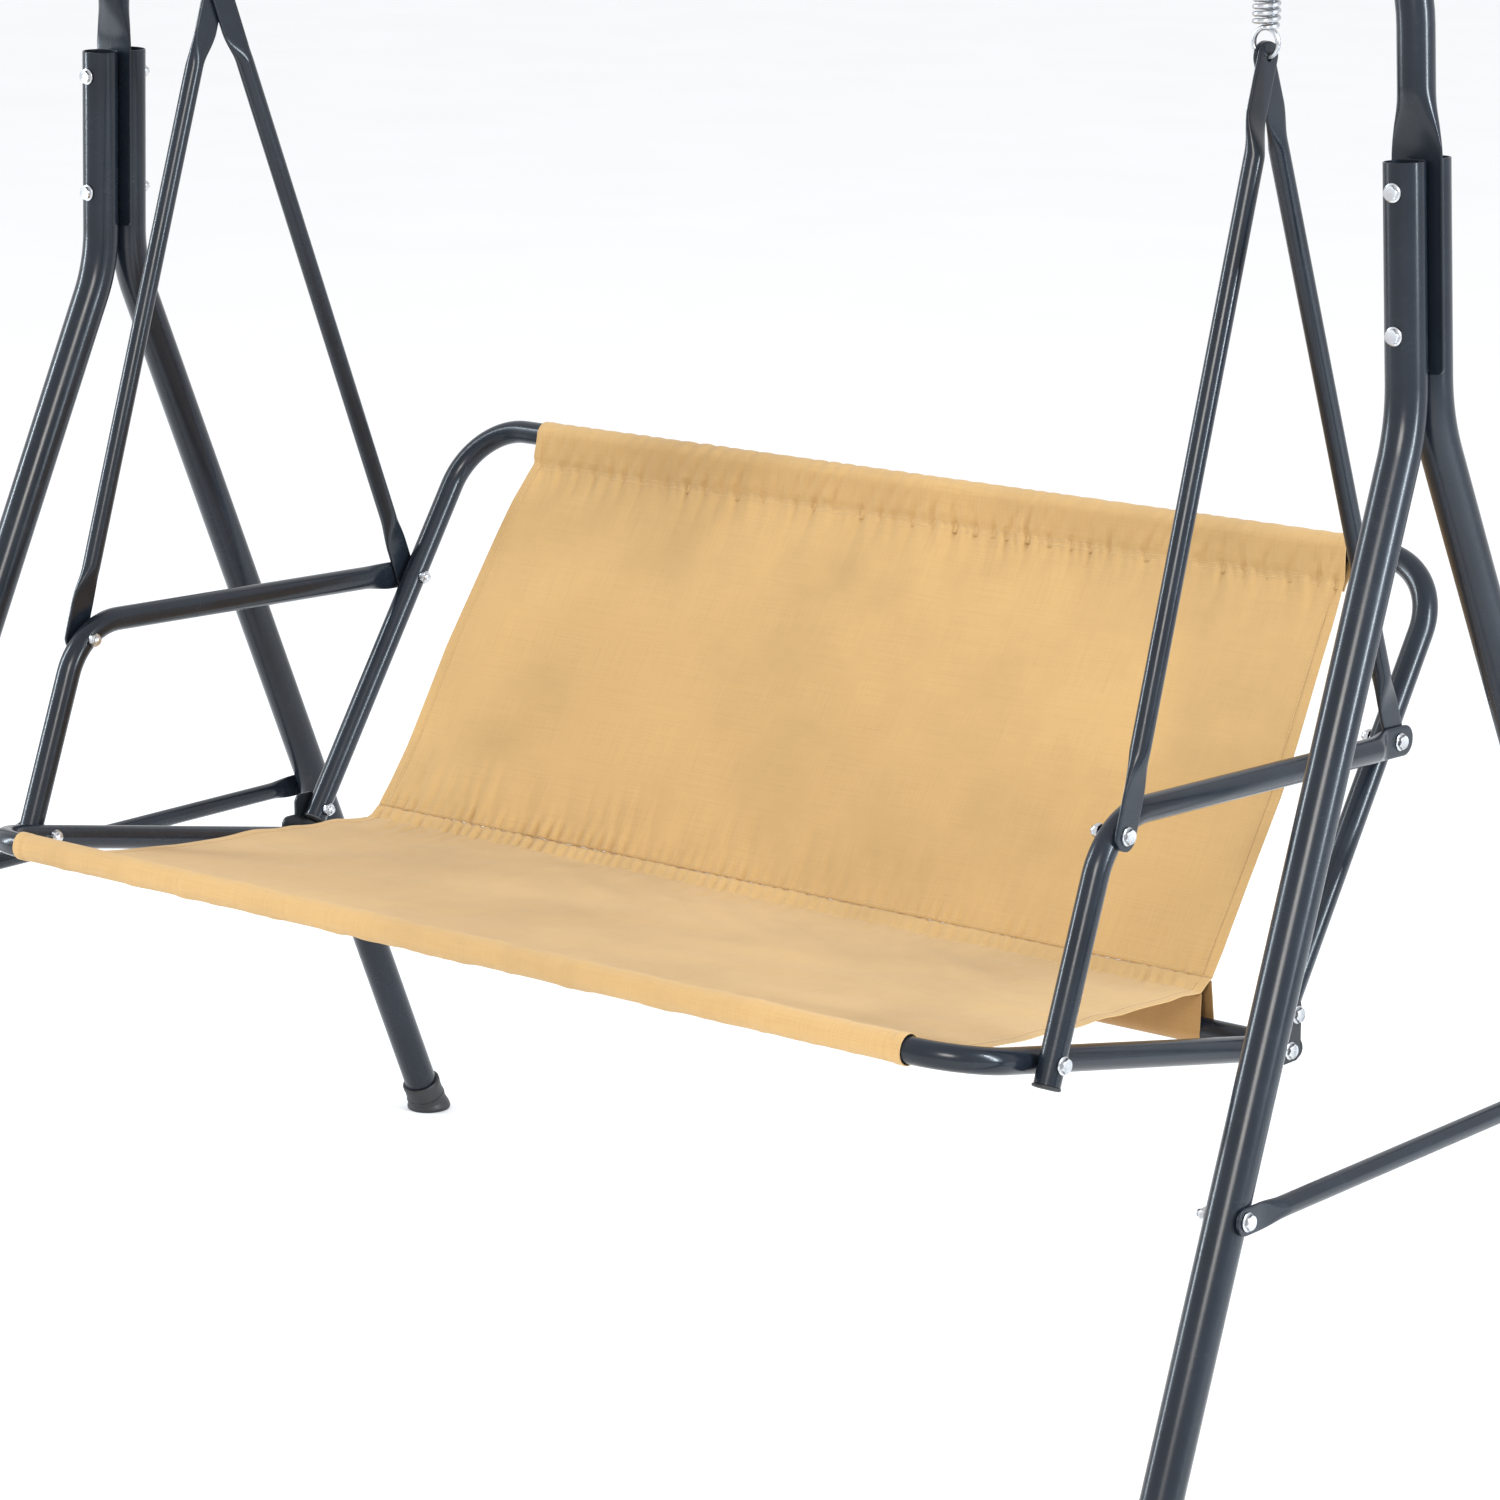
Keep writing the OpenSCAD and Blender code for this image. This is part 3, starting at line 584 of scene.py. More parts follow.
def make_stabilisers():
    """Straight bars outside the legs, pressed flat at both bolts."""
    low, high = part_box("right_stabiliser")
    z = (low.z + high.z) / 2
    centre = side_point(0, z) + OUT * (LEG_R + 0.0021)
    y = Vector((0, 1, 0))
    neck, length = 0.04, 0.031
    half = high.y - neck - length
    up = OUT.cross(y)
    body = [ring(centre + y * v, up, OUT, ROD_R, ROD_R) for v in (-half, 0, half)]
    front, rear = (
        flattened(centre + y * s * half, y * s, up, OUT, ROD_R, STABILISER_PLATE, neck, length, 0, 0.0122)
        for s in (-1, 1)
    )
    rings = list(reversed(front)) + body + rear
    side_pieces("{side}_stabiliser_bar", *skin(rings), STEEL, "frame", "dark_steel", ["{side}_stabiliser"])


# ---------------------------------------------------------------- hangers, armrests and seat tubes


def make_rods():
    """Hanger rods, pressed flat at the hook and at the lower bolt, with a hole for the hook."""
    x = Vector((1, 0, 0))
    neck, upper, lower, past_hole = 0.042, 0.05, 0.036, 0.014
    for end, top_x, top_round, low_round, under_head in (
        # x of the top plate from the hook's middle, of the round part from each plate, and the gap or
        # armrest's plate between the lower plate and the bolt's head
        ("front", 0.00205, 0.0066, -0.0025, 0.0001),
        ("rear", -0.00205, -0.004, -0.0005, 0.0042),
    ):
        bolts = f"{end}_rod_bolts"
        bolt = Vector((HOOK.x, *middle(bolts)[1:]))
        down = (bolt - HOOK).normalized()
        wide = down.cross(x).normalized()
        low_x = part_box(bolts)[1].x - BOLT_HEAD - under_head - ROD_PLATE[1] / 2
        a = HOOK + down * (upper + neck) + x * (top_x + top_round)
        b = HOOK + down * ((bolt - HOOK).length - lower - neck)
        b.x = low_x + low_round
        body = [ring(p, wide, x, ROD_R, ROD_R) for p in (a, a.lerp(b, 0.5), b)]
        shapes = (
            (a, -down, upper + past_hole, HOOK.x + top_x - a.x), (b, down, lower + past_hole, low_x - b.x),
        )
        top, foot = (
            flattened(p, d, wide, x, ROD_R, ROD_PLATE, neck, length, shift, PLATE_TIP_R)
            for p, d, length, shift in shapes
        )
        rings = list(reversed(top)) + body + foot
        name = "{side}_%s" % end
        side_pieces(name + "_hanger_rod", *skin(rings), STEEL, "seat", "dark_steel", [name + "_rod"])
        for side, s in (("right", 1), ("left", -1)):
            drill(bpy.data.objects[f"{side}_{end}_hanger_rod"], Vector((s * HOOK.x, 0, HOOK.z)), HOLE_R)


def drill(obj, at, radius):
    """Cuts a hole along X through a piece."""
    across = (0, math.pi / 2, 0)
    bpy.ops.mesh.primitive_cylinder_add(radius=radius, depth=0.03, vertices=32, location=at, rotation=across)
    cutter = bpy.context.object
    cut = obj.modifiers.new("hole", "BOOLEAN")
    cut.operation = "DIFFERENCE"
    cut.object = cutter
    cut.solver = "EXACT"
    apply_modifiers(obj)
    bpy.data.objects.remove(cutter)
    obj.data.shade_smooth()
    obj.data.set_sharp_from_angle(angle=math.radians(38))


def apply_modifiers(obj):
    """Replaces a piece's mesh with what its modifiers make of it."""
    dg = bpy.context.evaluated_depsgraph_get()
    mesh = bpy.data.meshes.new_from_object(obj.evaluated_get(dg))
    obj.modifiers.clear()
    obj.data = mesh


def make_armrests():
    """Bent tubes, open at the lower end and pressed flat where the rear bolt goes through."""
    x = Vector((1, 0, 0))
    axis_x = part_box("right_armrest")[1].x - SEAT_R
    corner = Vector((axis_x, *ARM_CORNER))
    bolt = Vector((axis_x, *middle("rear_rod_bolts")[1:]))
    back = (bolt - corner).normalized()
    low_end = Vector((axis_x, corner.y + ARM_SLOPE * (ARM_END_Z - corner.z), ARM_END_Z))
    neck, length, past_bolt = 0.036, 0.042, 0.022
    end = bolt - back * (neck + length - past_bolt)
    path = bent_path([low_end, corner, end], ARM_BEND_R, 18)
    rings = tube(path, SEAT_R, x, open_start=True)
    plate_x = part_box("rear_rod_bolts")[1].x - BOLT_HEAD - 0.0021
    wide = back.cross(x).normalized()
    shift = plate_x - axis_x
    rings += flattened(end, back, wide, x, SEAT_R, ARM_PLATE, neck, length, shift, PLATE_TIP_R)
    side_pieces("{side}_armrest_tube", *skin(rings), STEEL, "seat", "dark_steel", ["{side}_armrest"])


def u_path(node, end, bend):
    """A U tube's corners, from its left end to its right end. end and bend are (y, z)."""
    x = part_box(node)[1].x - SEAT_R
    return [Vector((-x, *end)), Vector((-x, *bend)), Vector((x, *bend)), Vector((x, *end))]


SEAT_FRONT = Vector((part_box("seat_frame")[0].y + SEAT_R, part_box("seat_frame")[1].z - SEAT_R))
SEAT_TILT = math.atan(SEAT_SLOPE)
SEAT_REAR_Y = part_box("seat_frame")[1].y - SEAT_R * math.sin(SEAT_TILT)
SEAT_REAR = Vector((SEAT_REAR_Y, SEAT_FRONT.y - SEAT_SLOPE * (SEAT_REAR_Y - SEAT_FRONT.x)))
BACK_TOP = Vector((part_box("back_frame")[1].y - SEAT_R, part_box("back_frame")[1].z - SEAT_R))
HINGE = middle("hinge_bolts")
BACK_SLOPE = (BACK_TOP.x - HINGE.y) / (BACK_TOP.y - HINGE.z)
CROSS = Vector(middle("rear_cross_tube")[1:])


def make_seat_tubes():
    path = u_path("seat_frame", SEAT_REAR, SEAT_FRONT)
    normal = Vector((0, math.sin(SEAT_TILT), math.cos(SEAT_TILT)))
    rings = tube(bent_path(path, SEAT_BEND_R, 18), SEAT_R, normal, open_start=True, open_end=True)
    piece("seat_u_tube", *skin(rings), STEEL, "seat", "dark_steel", ["seat_frame"])
    below = 0.010  # from the hinge bolt down to the back tube's end
    low = Vector((HINGE.y - BACK_SLOPE * below, HINGE.z - below))
    path = u_path("back_frame", low, BACK_TOP)
    direction = Vector((0, BACK_SLOPE, 1)).normalized()
    normal = direction.cross(Vector((1, 0, 0)))
    rings = tube(bent_path(path, BACK_BEND_R, 18), SEAT_R, normal, open_start=True, open_end=True)
    piece("back_u_tube", *skin(rings), STEEL, "seat", "dark_steel", ["back_frame"])


def finish_cad_nodes():
    """Materials for the CAD nodes that stay: cross tube, hinge plates, eye bolts, their nuts and plugs."""
    looks = {
        "rear_cross_tube": STEEL, "left_hinge_plate": FLAT_STEEL, "right_hinge_plate": FLAT_STEEL,
        "eye_bolts": BOLT, "eye_bolt_nuts": BOLT, "seat_tube_plugs": PLASTIC, "back_tube_plugs": PLASTIC,
    }
    for name, material in looks.items():
        node = frame["nodes"][name]
        node.data.materials.clear()
        node.data.materials.append(material)


# ---------------------------------------------------------------- plugs, bolts and nuts


def turned(profile, origin, axis, count=32):
    """A surface of revolution: profile holds (height along the axis, radius)."""
    side = axis.orthogonal().normalized()
    other = axis.cross(side)
    return skin([ring(origin + axis * h, side, other, r, r, count=count) for h, r in profile])


def hex_radius(a, flats):
    """Radius of a hexagon at angle a, from its distance across the flats."""
    return flats / 2 / math.cos((a + math.pi / 6) % (math.pi / 3) - math.pi / 6)


def hex_ring(origin, axis, side, h, flats, share, count=48):
    """A hexagon's section at a height, its corners cut back to a share of their radius."""
    other = axis.cross(side)
    limit = share * flats / 2 / math.cos(math.pi / 6)
    out = []
    for i in range(count):
        a = 2 * math.pi * i / count
        r = min(hex_radius(a, flats), limit)
        out.append(origin + axis * h + side * r * math.cos(a) + other * r * math.sin(a))
    return out


def bolt_head(under, axis, flats=0.0128, height=0.0052):
    """Flanged hexagon head with chamfered corners. axis points out of the head."""
    side = axis.orthogonal().normalized()
    other = axis.cross(side)
    rings = []
    for h, r in ((0.0, 0.0080), (0.0004, 0.0086), (0.0010, 0.0086), (0.0016, 0.0080)):
        rings.append(ring(under + axis * h, side, other, r, r, count=48))
    hexagon = (
        (0.0018, 1), (height - 0.0013, 1), (height - 0.0004, 0.93), (height, 0.86), (height - 0.0003, 0.6),
    )
    for h, share in hexagon:
        rings.append(hex_ring(under, axis, side, h, flats, share))
    return skin(rings)


def threaded_end(start, axis, length, r=0.004):
    """The end of a bolt's shank, with thread ridges and a chamfer."""
    profile = [(-0.004, r)]
    pitch = 0.00125
    for i in range(int(length / pitch)):
        profile += [(i * pitch, r), (i * pitch + pitch / 2, r - 0.0006)]
    profile += [(length - 0.0006, r - 0.0002), (length, r - 0.001)]
    return turned(profile, start, axis, 24)


def lock_nut(face, axis, flats=0.013, height=0.0064):
    """Nylon-insert nut: a chamfered hexagon with a round collar."""
    side = axis.orthogonal().normalized()
    other = axis.cross(side)
    rings = []
    for h, share in ((0.0, 0.9), (0.0008, 1), (height - 0.0024, 1), (height - 0.0017, 0.9)):
        rings.append(hex_ring(face, axis, side, h, flats, share))
    for h, r in ((height - 0.0016, 0.0060), (height - 0.0004, 0.0058), (height, 0.0053), (height, 0.0042)):
        rings.append(ring(face + axis * h, side, other, r, r, count=48))
    return skin(rings)


def fastener_places(node, head):
    """(centre, direction of the head, half length) of each bolt or nut of a CAD node.

    head is the direction that the bolts' heads face on the right side, and is mirrored on the left."""
    main = max(range(3), key=lambda i: abs(head[i]))
    places = []
    for low, high in islands(node):
        centre = (low + high) / 2
        axis = Vector((-head.x, head.y, head.z)) if centre.x < 0 else head
        places.append((centre, axis, (high[main] - low[main]) / 2))
    return places


def make_fasteners():
    """Every bolt head, threaded end and nut, where the frame's own bolts and nuts are."""
    x, front = Vector((1, 0, 0)), Vector((0, -1, 0))
    end = 0.004  # length of a bolt's end past its nut
    for node, body, head in (
        ("leg_joint_bolts", "frame", front), ("top_bar_bolts", "frame", front),
        ("stabiliser_bolts", "frame", OUT), ("front_rod_bolts", "seat", x), ("rear_rod_bolts", "seat", x),
        ("armrest_bolts", "seat", x), ("hinge_bolts", "seat", x), ("hinge_screws", "seat", x),
    ):
        parts = []
        for centre, axis, half in fastener_places(node, head):
            parts.append(bolt_head(centre + axis * (half - BOLT_HEAD), axis))
            if node != "hinge_screws":
                parts.append(threaded_end(centre - axis * (half - end), -axis, end))
        name = node.replace("bolts", "bolt_set").replace("screws", "screw_set")
        piece(name, *join(*parts), BOLT, body, "zinc", [node])
    for node, body, head in (
        ("leg_joint_nuts", "frame", front), ("top_bar_nuts", "frame", front),
        ("stabiliser_nuts", "frame", OUT), ("seat_nuts", "seat", x),
    ):
        parts = []
        for centre, axis, half in fastener_places(node, head):
            parts.append(lock_nut(centre + axis * half, -axis))
        piece(node.replace("nuts", "nut_set"), *join(*parts), BOLT, body, "zinc", [node])


def make_armrest_plugs():
    """Flanged caps in the armrests' lower ends."""
    profile = [
        (-0.012, 0.0105), (-0.0002, 0.0105), (0.0, 0.0128), (0.0004, 0.0134), (0.0018, 0.0136),
        (0.0026, 0.0132), (0.0032, 0.0122), (0.0036, 0.0100), (0.0037, 0.0060), (0.0037, 0.0012),
    ]
    axis = Vector((0, -ARM_SLOPE, -1)).normalized()
    # from the armrest's lowest front corner to the middle of its tube's open end
    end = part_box("right_armrest")[0] + Vector((0, 0.0117, 0.0045))
    parts = []
    for low, high in islands("armrest_plugs"):
        parts.append(turned(profile, Vector(((low.x + high.x) / 2, end.y, end.z)), axis, 40))
    piece("armrest_cap_pair", *join(*parts), PLASTIC, "seat", "black_plastic", ["armrest_plugs"])


# ---------------------------------------------------------------- springs

WIRE_R = 0.0025
RING_R = 0.013  # to the middle of the wire, as in the coil
COIL_R = 0.0105
COIL_TURNS = 15


def spring_line():
    """Centre line of a spring's wire, relative to its axis: hook ring, coil and top ring in one run."""
    lower = []
    ring_top = HOOK.z + 2 * RING_R
    ring_steps = 41
    for i in range(ring_steps + 1):
        a = math.radians(-165 + 345 * i / ring_steps)
        lower.append(Vector((RING_R * math.sin(a), 0, HOOK.z + RING_R - RING_R * math.cos(a))))
    # a widening turn that runs from the ring into the coil
    coil_low = ring_top + 0.004
    lead_from, lead_turn = 180, 300
    steps = 28
    for i in range(1, steps):
        u = i / steps
        a = math.radians(lead_from + lead_turn * u)
        r = COIL_R * math.sin(u * math.pi / 2)
        lower.append(Vector((r * math.cos(a), r * math.sin(a), ring_top + (coil_low - ring_top) * u * u)))
    # the top end is the lower end turned half round about the Y axis through the middle
    centre_z = (SWING.z + HOOK.z) / 2
    upper = [Vector((-p.x, p.y, 2 * centre_z - p.z)) for p in reversed(lower)]
    coil_high = 2 * centre_z - coil_low
    start = math.radians(lead_from + lead_turn)
    end = math.pi - start
    turn = 2 * math.pi
    sweep = end - start + turn * math.ceil((start - end) / turn + COIL_TURNS)
    per_turn = 30
    n = round(sweep / turn * per_turn)
    coil = []
    for i in range(n + 1):
        a = start + sweep * i / n
        z = coil_low + (coil_high - coil_low) * i / n
        coil.append(Vector((COIL_R * math.cos(a), COIL_R * math.sin(a), z)))
    return lower + coil + upper, coil_low, coil_high


def wire(path, r, count=12):
    """Round wire along a path, its sections carried along without twist."""
    rings = []
    directions = tangents(path)
    side = directions[0].orthogonal().normalized()
    for p, d in zip(path, directions):
        side = (side - d * d.dot(side)).normalized()
        rings.append(ring(p, side, d.cross(side), r, r, count=count))
    return skin(rings)


def make_springs():
    centre_line, coil_low, coil_high = spring_line()
    for side, s in (("right", 1), ("left", -1)):
        shift = Vector((s * HOOK.x, 0, 0))
        verts, faces = wire([p + shift for p in centre_line], WIRE_R)
        nodes = [f"{side}_spring_{part}" for part in ("eye", "coil", "hook")]
        obj = piece(f"{side}_spring", verts, faces, SPRING_WIRE, None, "spring_zinc", nodes)
        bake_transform(obj)


# ---------------------------------------------------------------- sling

# places in the sling's section are (y, z): the fold's two seams, the top sleeve's stitching and the place
# behind the front tube where the seat panel's line begins
FOLD_REAR = Vector((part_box("back_panel")[0].y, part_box("back_panel")[0].z + 0.0003))
FOLD_FRONT = FOLD_REAR - Vector((0.019, 0.009))
STITCH_Z = BACK_TOP.y - 0.0295
STITCH = Vector((HINGE.y + BACK_SLOPE * (STITCH_Z - HINGE.z) + 0.003, STITCH_Z))
PANEL_START = SEAT_FRONT + Vector((SLEEVE_R + 0.0022, -0.0045))


def arc(centre, r, start, stop, steps):
    """Points (y, z) on a circle, from one angle to another in degrees."""
    out = []
    for i in range(steps + 1):
        a = math.radians(start + (stop - start) * i / steps)
        out.append(centre + r * Vector((math.cos(a), math.sin(a))))
    return out


def panel_point(u):
    """The seat panel's line at a share u of its length."""
    p = PANEL_START.lerp(FOLD_FRONT, u)
    return p - Vector((0, SEAT_SAG * u ** 0.7 * (1 - u) ** 1.8))


def along(points):
    """Distance along a line at each of its points."""
    out = [0.0]
    for a, b in zip(points, points[1:]):
        out.append(out[-1] + (b - a).length)
    return out


def columns(count):
    """Places across the sling as a share of its half width, closer together at the hems."""
    inner = [-1 + 2 * i / count for i in range(count + 1)]
    inner = [u for u in inner if abs(u) < 1 - 1.25 * HEM]
    edge = [1 - share * HEM for share in (0, 0.06, 0.5, 0.9, 1, 1.1)]
    return [-u for u in edge] + inner + list(reversed(edge))


def wave(v, seed):
    """Smooth noise from -1 to 1 over a place (u, v)."""
    return noise.noise(Vector((*v, seed)))


def bell(d, width):
    return math.exp(-((d / width) ** 2))


def pucker(x, seed, pitch, sharp=1.4):
    """Gathers along a seam: uneven ridges with narrower valleys, from -0.5 to 0.5."""
    phase = x / pitch + 1.2 * noise.noise(Vector((x * 9, seed, 0)))
    strength = 0.3 + 1.1 * abs(noise.noise(Vector((x * 11, seed + 7, 0))))
    return min(1.0, strength) * (abs(math.sin(math.pi * phase)) ** sharp - 0.5)


def stretch_at(lengths, s):
    """Number of the straight stretch of a line that holds the point s along it."""
    return max(k for k, v in enumerate(lengths[:-1]) if v <= s)


def surface(points, relief):
    """A function from (x, s, lift) to a point off the cloth's middle surface, and the normal there."""
    lengths = along(points)

    def at(x, s, lift):
        i = stretch_at(lengths, s)
        a, b = points[i], points[i + 1]
        p = a.lerp(b, (s - lengths[i]) / (lengths[i + 1] - lengths[i]))
        d = (b - a).normalized()
        normal = Vector((-d.y, d.x))
        q = p + normal * (relief(x, s, p) + lift)
        return Vector((x, q.x, q.y)), Vector((0, normal.x, normal.y))

    return at


def cloth(name, points, width_at, relief, node, material=CANVAS, count=480):
    """A sheet of cloth: points (y, z) run along it, width_at gives half its width and relief lifts it.

    relief takes x, the distance along the sheet and the point there. The sheet's middle is at x = 0."""
    lengths = along(points)
    across = columns(count)
    hem_lift = 0.0005
    verts, uvs = [], []
    for i, (p, s) in enumerate(zip(points, lengths)):
        a, b = points[max(i - 1, 0)], points[min(i + 1, len(points) - 1)]
        d = (b - a).normalized()
        normal = Vector((-d.y, d.x))
        half = width_at(p)
        for u in across:
            wander = 0.0012 * wave((s * 6, u * 3), 3.0) * abs(u) ** 6
            x = u * half + wander
            lift = relief(x, s, p) + (hem_lift if abs(u) > 1 - 1.05 * HEM else 0)
            q = p + normal * lift
            verts.append(Vector((x, q.x, q.y)))
            uvs.append((x, s))
    n = len(across)
    faces = []
    for i in range(len(points) - 1):
        for k in range(n - 1):
            a = i * n + k
            faces.append((a, a + n, a + n + 1, a + 1))
    obj = piece(name, verts, faces, material, None, "sling_fabric", [node], 60, uvs)
    solid = obj.modifiers.new("thickness", "SOLIDIFY")
    solid.thickness = CLOTH_T
    solid.offset = 0
    apply_modifiers(obj)
    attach(obj, "seat")
    halves = [width_at(p) for p in points]


def front_width(p):
    u = (p.x - SEAT_FRONT.x) / (FOLD_REAR.x - SEAT_FRONT.x)
    return FRONT_HALF + (FOLD_HALF - FRONT_HALF) * min(max(u, 0), 1)


def back_width(p):
    heights = [FOLD_REAR.y, WAIST_Z, STITCH.y, BACK_TOP.y]
    halves = [FOLD_HALF, WAIST_HALF, STITCH_HALF, TOP_HALF]
    for low, high, a, b in zip(heights, heights[1:], halves, halves[1:]):
        if p.y <= high:
            return a + (b - a) * max(0, (p.y - low) / (high - low))
    return TOP_HALF


def fold_width(_):
    return FOLD_HALF


def fade_right(x):
    """The fold's gathers are strongest on the left."""
    return 0.4 + 0.6 * min(1, max(0, 0.45 - x / 0.8))


def seat_relief(x, s, p):
    """Gathers at the fold, drag lines towards the front and a little unevenness."""
    if s < ROLL_END:
        twist = wave((x * 22 + s * 45, s * 16), 11.0) + 0.6 * wave((x * 55 - s * 30, s * 20), 12.0)
        return max(-0.0001, 0.0019 * twist)
    d = FOLD_REAR.x - p.x
    slant = x + 0.35 * (p.x - FOLD_FRONT.x)
    fold = p.x - (FOLD_FRONT.x + 0.008)
    gathers = 0.0085 * bell(fold, 0.0105) * pucker(slant, 2.0, 0.0145)
    tails = 0.0050 * bell(fold + 0.022, 0.028) * pucker(slant, 3.0, 0.029, 1.0)
    drag = 0.0034 * bell(d - 0.11, 0.10) * wave((x * 15 + p.x * 24, p.x * 4), 5.0)
    calm = min(1, d / 0.05)
    broad = 0.0052 * wave((x * 3.2 + p.x * 2.5, p.x * 5), 8.0) * calm
    fine = 0.0015 * wave((x * 9 - p.x * 20, p.x * 9), 21.0) * calm
    nick = 0.0036 * bell(p.x - SEAT_FRONT.x - 0.03, 0.024) * pucker(x, 31.0, 0.038, 1.0)
    return (gathers + tails) * fade_right(x) + drag + broad + fine + nick


def back_relief(x, s, p):
    """Gathers at both seams, and a gently uneven panel between them."""
    low = p.y - FOLD_REAR.y
    high = p.y - STITCH.y
    top = 0.0068 * bell(high, 0.026) * pucker(x, 9.0, 0.026, 1.0)
    pull = 0.0036 * bell(high + 0.004, 0.011) * pucker(x + 0.3 * high, 10.0, 0.0135, 1.0)
    if high > 0.004:
        ripples = 0.0036 * pucker(x - 0.4 * high, 14.0, 0.022, 1.0) * (0.4 + 0.6 * bell(high - 0.01, 0.022))
        free = min(1, max(0, BACK_TOP.y - 0.006 - p.y) / 0.01)
        return free * (top + pull) + max(-0.0001, ripples + 0.0006)
    gathers = 0.0080 * bell(low - 0.006, 0.012) * pucker(x, 4.0, 0.0155)
    tails = 0.0052 * bell(low - 0.026, 0.028) * pucker(x + 0.2 * low, 6.0, 0.031, 1.0)
    inside = min(1, max(0, low) / 0.06) * min(1, max(0, -high) / 0.04)
    broad = 0.0080 * wave((x * 3.0, p.y * 3.6), 17.0) * inside
    fine = 0.0016 * wave((x * 11, p.y * 7), 23.0) * inside
    drag = 0.0036 * bell(high + 0.05, 0.045) * wave((x * 20, p.y * 5), 29.0)
    return (gathers + tails) * fade_right(x) + top + pull + broad + fine + drag


def sleeve_relief(x, s, p):
    return 0.0008 * wave((x * 8, p.y * 14), 41.0)


FRONT_ROLL = arc(SEAT_FRONT, SLEEVE_R, -62, -346, 40)
ROLL_TAIL = line(PANEL_START + Vector((0.016, -0.0045)), FRONT_ROLL[0], 4)
ROLL_END = along(ROLL_TAIL + FRONT_ROLL)[-1] + 0.001


def seat_line():
    """Round the front tube, down the sagging panel and across the fold. Rows are denser at both ends."""
    leaves_roll = 0.012  # share of the panel's line that the roll already covers
    rows = 90
    shares = [(i / rows) ** 1.25 for i in range(rows - 5)]
    shares += [1 - (1 - v) ** 1.7 for v in (0.2, 0.4, 0.6)]  # three more rows where the panel sags
    panel = [panel_point(leaves_roll + (1 - leaves_roll) * share) for share in sorted(shares)]
    near_fold = line(panel[-1], FOLD_FRONT, 8)[1:]
    return ROLL_TAIL + FRONT_ROLL + panel + near_fold + line(FOLD_FRONT, FOLD_REAR, 9) + [FOLD_REAR]


def back_line():
    """Up the back panel, round the back tube and down to the stitching."""
    d = (STITCH - FOLD_REAR).normalized()
    normal = Vector((-d.y, d.x))
    tip = BACK_TOP - STITCH
    spread = math.degrees(math.acos(SLEEVE_R / tip.length))
    facing = math.degrees(math.atan2(-tip.y, -tip.x))
    loop = arc(BACK_TOP, SLEEVE_R, facing - spread, facing + spread - 360, 36)
    behind = STITCH - normal * 0.0016
    tail = [*line(loop[-1], behind, 6)[1:], behind, behind - d * 0.009]
    length = (STITCH - FOLD_REAR).length
    near_fold = [0.0003 + 0.0025 * i for i in range(20)]
    between = [0.055 + (length - 0.115) * i / 40 for i in range(41)]
    near_stitching = [length - 0.056 + 0.004 * i for i in range(14)]
    up = [FOLD_REAR + d * h for h in near_fold + between + near_stitching]
    return up + line(STITCH, loop[0], 9) + loop + tail


def make_sling():
    cloth("sling_seat", seat_line(), front_width, seat_relief, "seat_panel")
    cloth("sling_back", back_line(), back_width, back_relief, "back_panel")
    hang = Vector((0, -0.0014))  # the lower sleeve's edges lie under the fold
    bottom = arc(CROSS, SLEEVE_R, 180, 360, 26)
    first, last = FOLD_FRONT + hang, FOLD_REAR + hang
    points = line(first, bottom[0], 9) + bottom + line(bottom[-1], last, 10)[1:] + [last]
    # the lower sleeve takes the darker canvas, which paints in the shade under the seat
    cloth(
        "sling_lower_sleeve", points, fold_width, sleeve_relief, "lower_sleeve",
        SHADED_LOWER_CANVAS, 160,
    )


def stitch(a, b, normal, r=0.00034):
    """One raised stitch from a to b: a short capsule sunk at both ends."""
    side = (b - a).normalized().cross(normal)
    rings = []
    for u, h in ((0, -0.6), (0.12, 0.4), (0.5, 0.9), (0.88, 0.4), (1, -0.6)):
        rings.append(ring(a.lerp(b, u) + normal * h * r, side, normal, r, r, count=6))
    return skin(rings)


def make_stitching():
    """Sewn rows at the top sleeve, the fold and the side hems, on the cloth's outer face."""
    pitch, gap, lift = 0.0042, 0.0011, CLOTH_T / 2
    edge = 0.004  # from a row's first stitch to the cloth's edge
    hem_in = 0.0125  # from the cloth's edge to the hem's row
    hem_lift = lift + 0.0003
    parts = []
    back, seat = back_line(), seat_line()
    on_back, on_seat = surface(back, back_relief), surface(seat, seat_relief)
    top = (STITCH - FOLD_REAR).length
    fold = along(seat)[-1]
    front_seam = fold - (FOLD_REAR - FOLD_FRONT).length - 0.002
    for at, s, half in (
        (on_back, top - 0.001, TOP_HALF), (on_back, top - 0.0065, TOP_HALF),
        (on_back, 0.004, FOLD_HALF), (on_seat, front_seam, FOLD_HALF),
    ):
        for i in range(int(2 * (half - edge) / pitch)):
            x = -half + edge + i * pitch
            a, normal = at(x, s, lift)
            parts.append(stitch(a, at(x + pitch - gap, s, lift)[0], normal))
    for at, first, last, width_at, points in (
        (on_back, 0.002, top, back_width, back), (on_seat, ROLL_END, fold - 0.004, front_width, seat),
    ):
        lengths = along(points)
        for i in range(int((last - first) / pitch)):
            s = first + i * pitch
            x = width_at(points[stretch_at(lengths, s)]) - hem_in
            for side in (-1, 1):
                a, normal = at(side * x, s, hem_lift)
                parts.append(stitch(a, at(side * x, s + pitch - gap, hem_lift)[0], normal))
    piece("sling_stitches", *join(*parts), THREAD, "seat", "sling_fabric")


# ---------------------------------------------------------------- studio

AZIMUTH = math.radians(40.03)
ELEVATION = math.radians(13.18)
ROLL = math.radians(-0.194)
CAMERA = Vector((3.2286, -3.7674, 1.8321))
FOCAL_MM = 121.93


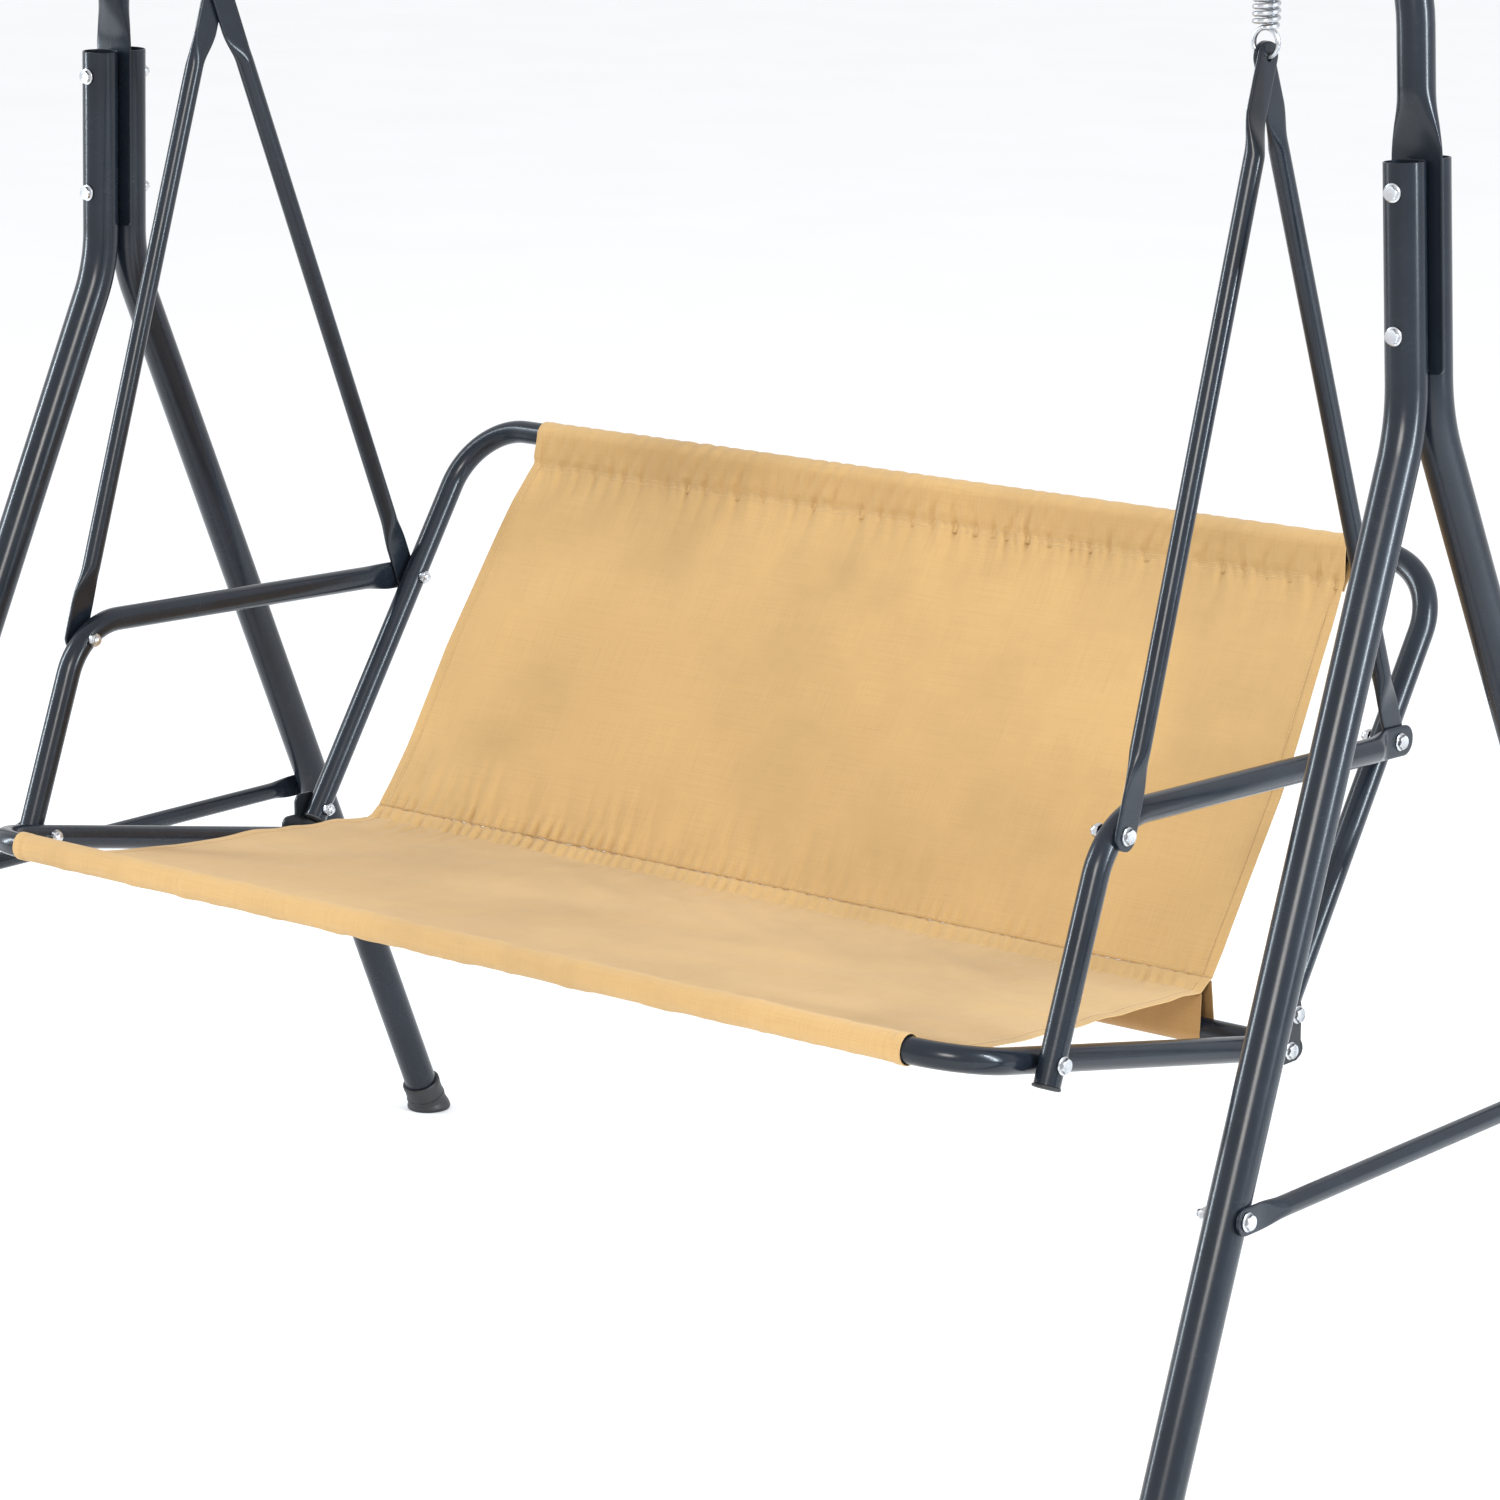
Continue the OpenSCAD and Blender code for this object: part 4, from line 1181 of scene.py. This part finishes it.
def make_camera():
    data = bpy.data.cameras.new("camera")
    data.lens = FOCAL_MM
    data.sensor_width = 36
    data.clip_end = 60
    cam = bpy.data.objects.new("camera", data)
    bpy.context.scene.collection.objects.link(cam)
    forward = Vector((-math.sin(AZIMUTH), math.cos(AZIMUTH), 0))
    ahead = forward * math.cos(ELEVATION) - Vector((0, 0, math.sin(ELEVATION)))
    level = Vector((math.cos(AZIMUTH), math.sin(AZIMUTH), 0))
    up = level.cross(ahead)
    right = level * math.cos(ROLL) + up * math.sin(ROLL)
    up = -level * math.sin(ROLL) + up * math.cos(ROLL)
    cam.matrix_world = Matrix((right, up, -ahead)).transposed().to_4x4()
    cam.location = CAMERA
    bpy.context.scene.camera = cam


def area_light(name, at, target, size, power, colour):
    data = bpy.data.lights.new(name, "AREA")
    data.shape = "RECTANGLE"
    data.size, data.size_y = size
    data.energy = power
    data.color = colour
    lamp = bpy.data.objects.new(name, data)
    bpy.context.scene.collection.objects.link(lamp)
    lamp.location = at
    lamp.rotation_euler = (Vector(target) - Vector(at)).to_track_quat("-Z", "Y").to_euler()


def make_studio():
    """A pale floor, a white world, a warm key light and two cool strips that draw streaks on the tubes."""
    mesh = bpy.data.meshes.new("floor")
    s = 30
    mesh.from_pydata([(-s, -s, 0), (s, -s, 0), (s, s, 0), (-s, s, 0)], [], [(0, 1, 2, 3)])
    floor = bpy.data.objects.new("floor", mesh)
    bpy.context.scene.collection.objects.link(floor)
    m = Nodes("pale_floor")
    m.colour(m.ramp(m.noise(2, 3), (0.3, (0.95, 0.95, 0.945)), (0.7, (0.97, 0.97, 0.97))))
    m.set(roughness=0.85)
    mesh.materials.append(m.material)
    world = bpy.data.worlds.new("studio")
    bpy.context.scene.world = world
    world.use_nodes = True
    back = world.node_tree.nodes["Background"]
    back.inputs["Color"].default_value = (0.97, 0.98, 1.0, 1)
    back.inputs["Strength"].default_value = 1.0
    area_light("key", (2.6, -3.9, 3.0), (0.2, 0, 0.7), (1.4, 1.4), 110, (1.0, 0.96, 0.91))
    area_light("side", (4.4, 0.6, 2.6), (0.3, 0, 0.8), (0.16, 3.2), 260, (0.80, 0.91, 1.0))
    area_light("left", (-4.0, -2.0, 2.2), (0, 0, 0.8), (0.14, 3.0), 150, (0.80, 0.91, 1.0))


make_camera()
make_legs()
make_feet()
make_posts()
make_stabilisers()
make_rods()
make_armrests()
make_seat_tubes()
finish_cad_nodes()
make_fasteners()
make_armrest_plugs()
make_springs()
make_sling()
make_stitching()
make_studio()
bpy.context.scene.view_settings.view_transform = "Standard"
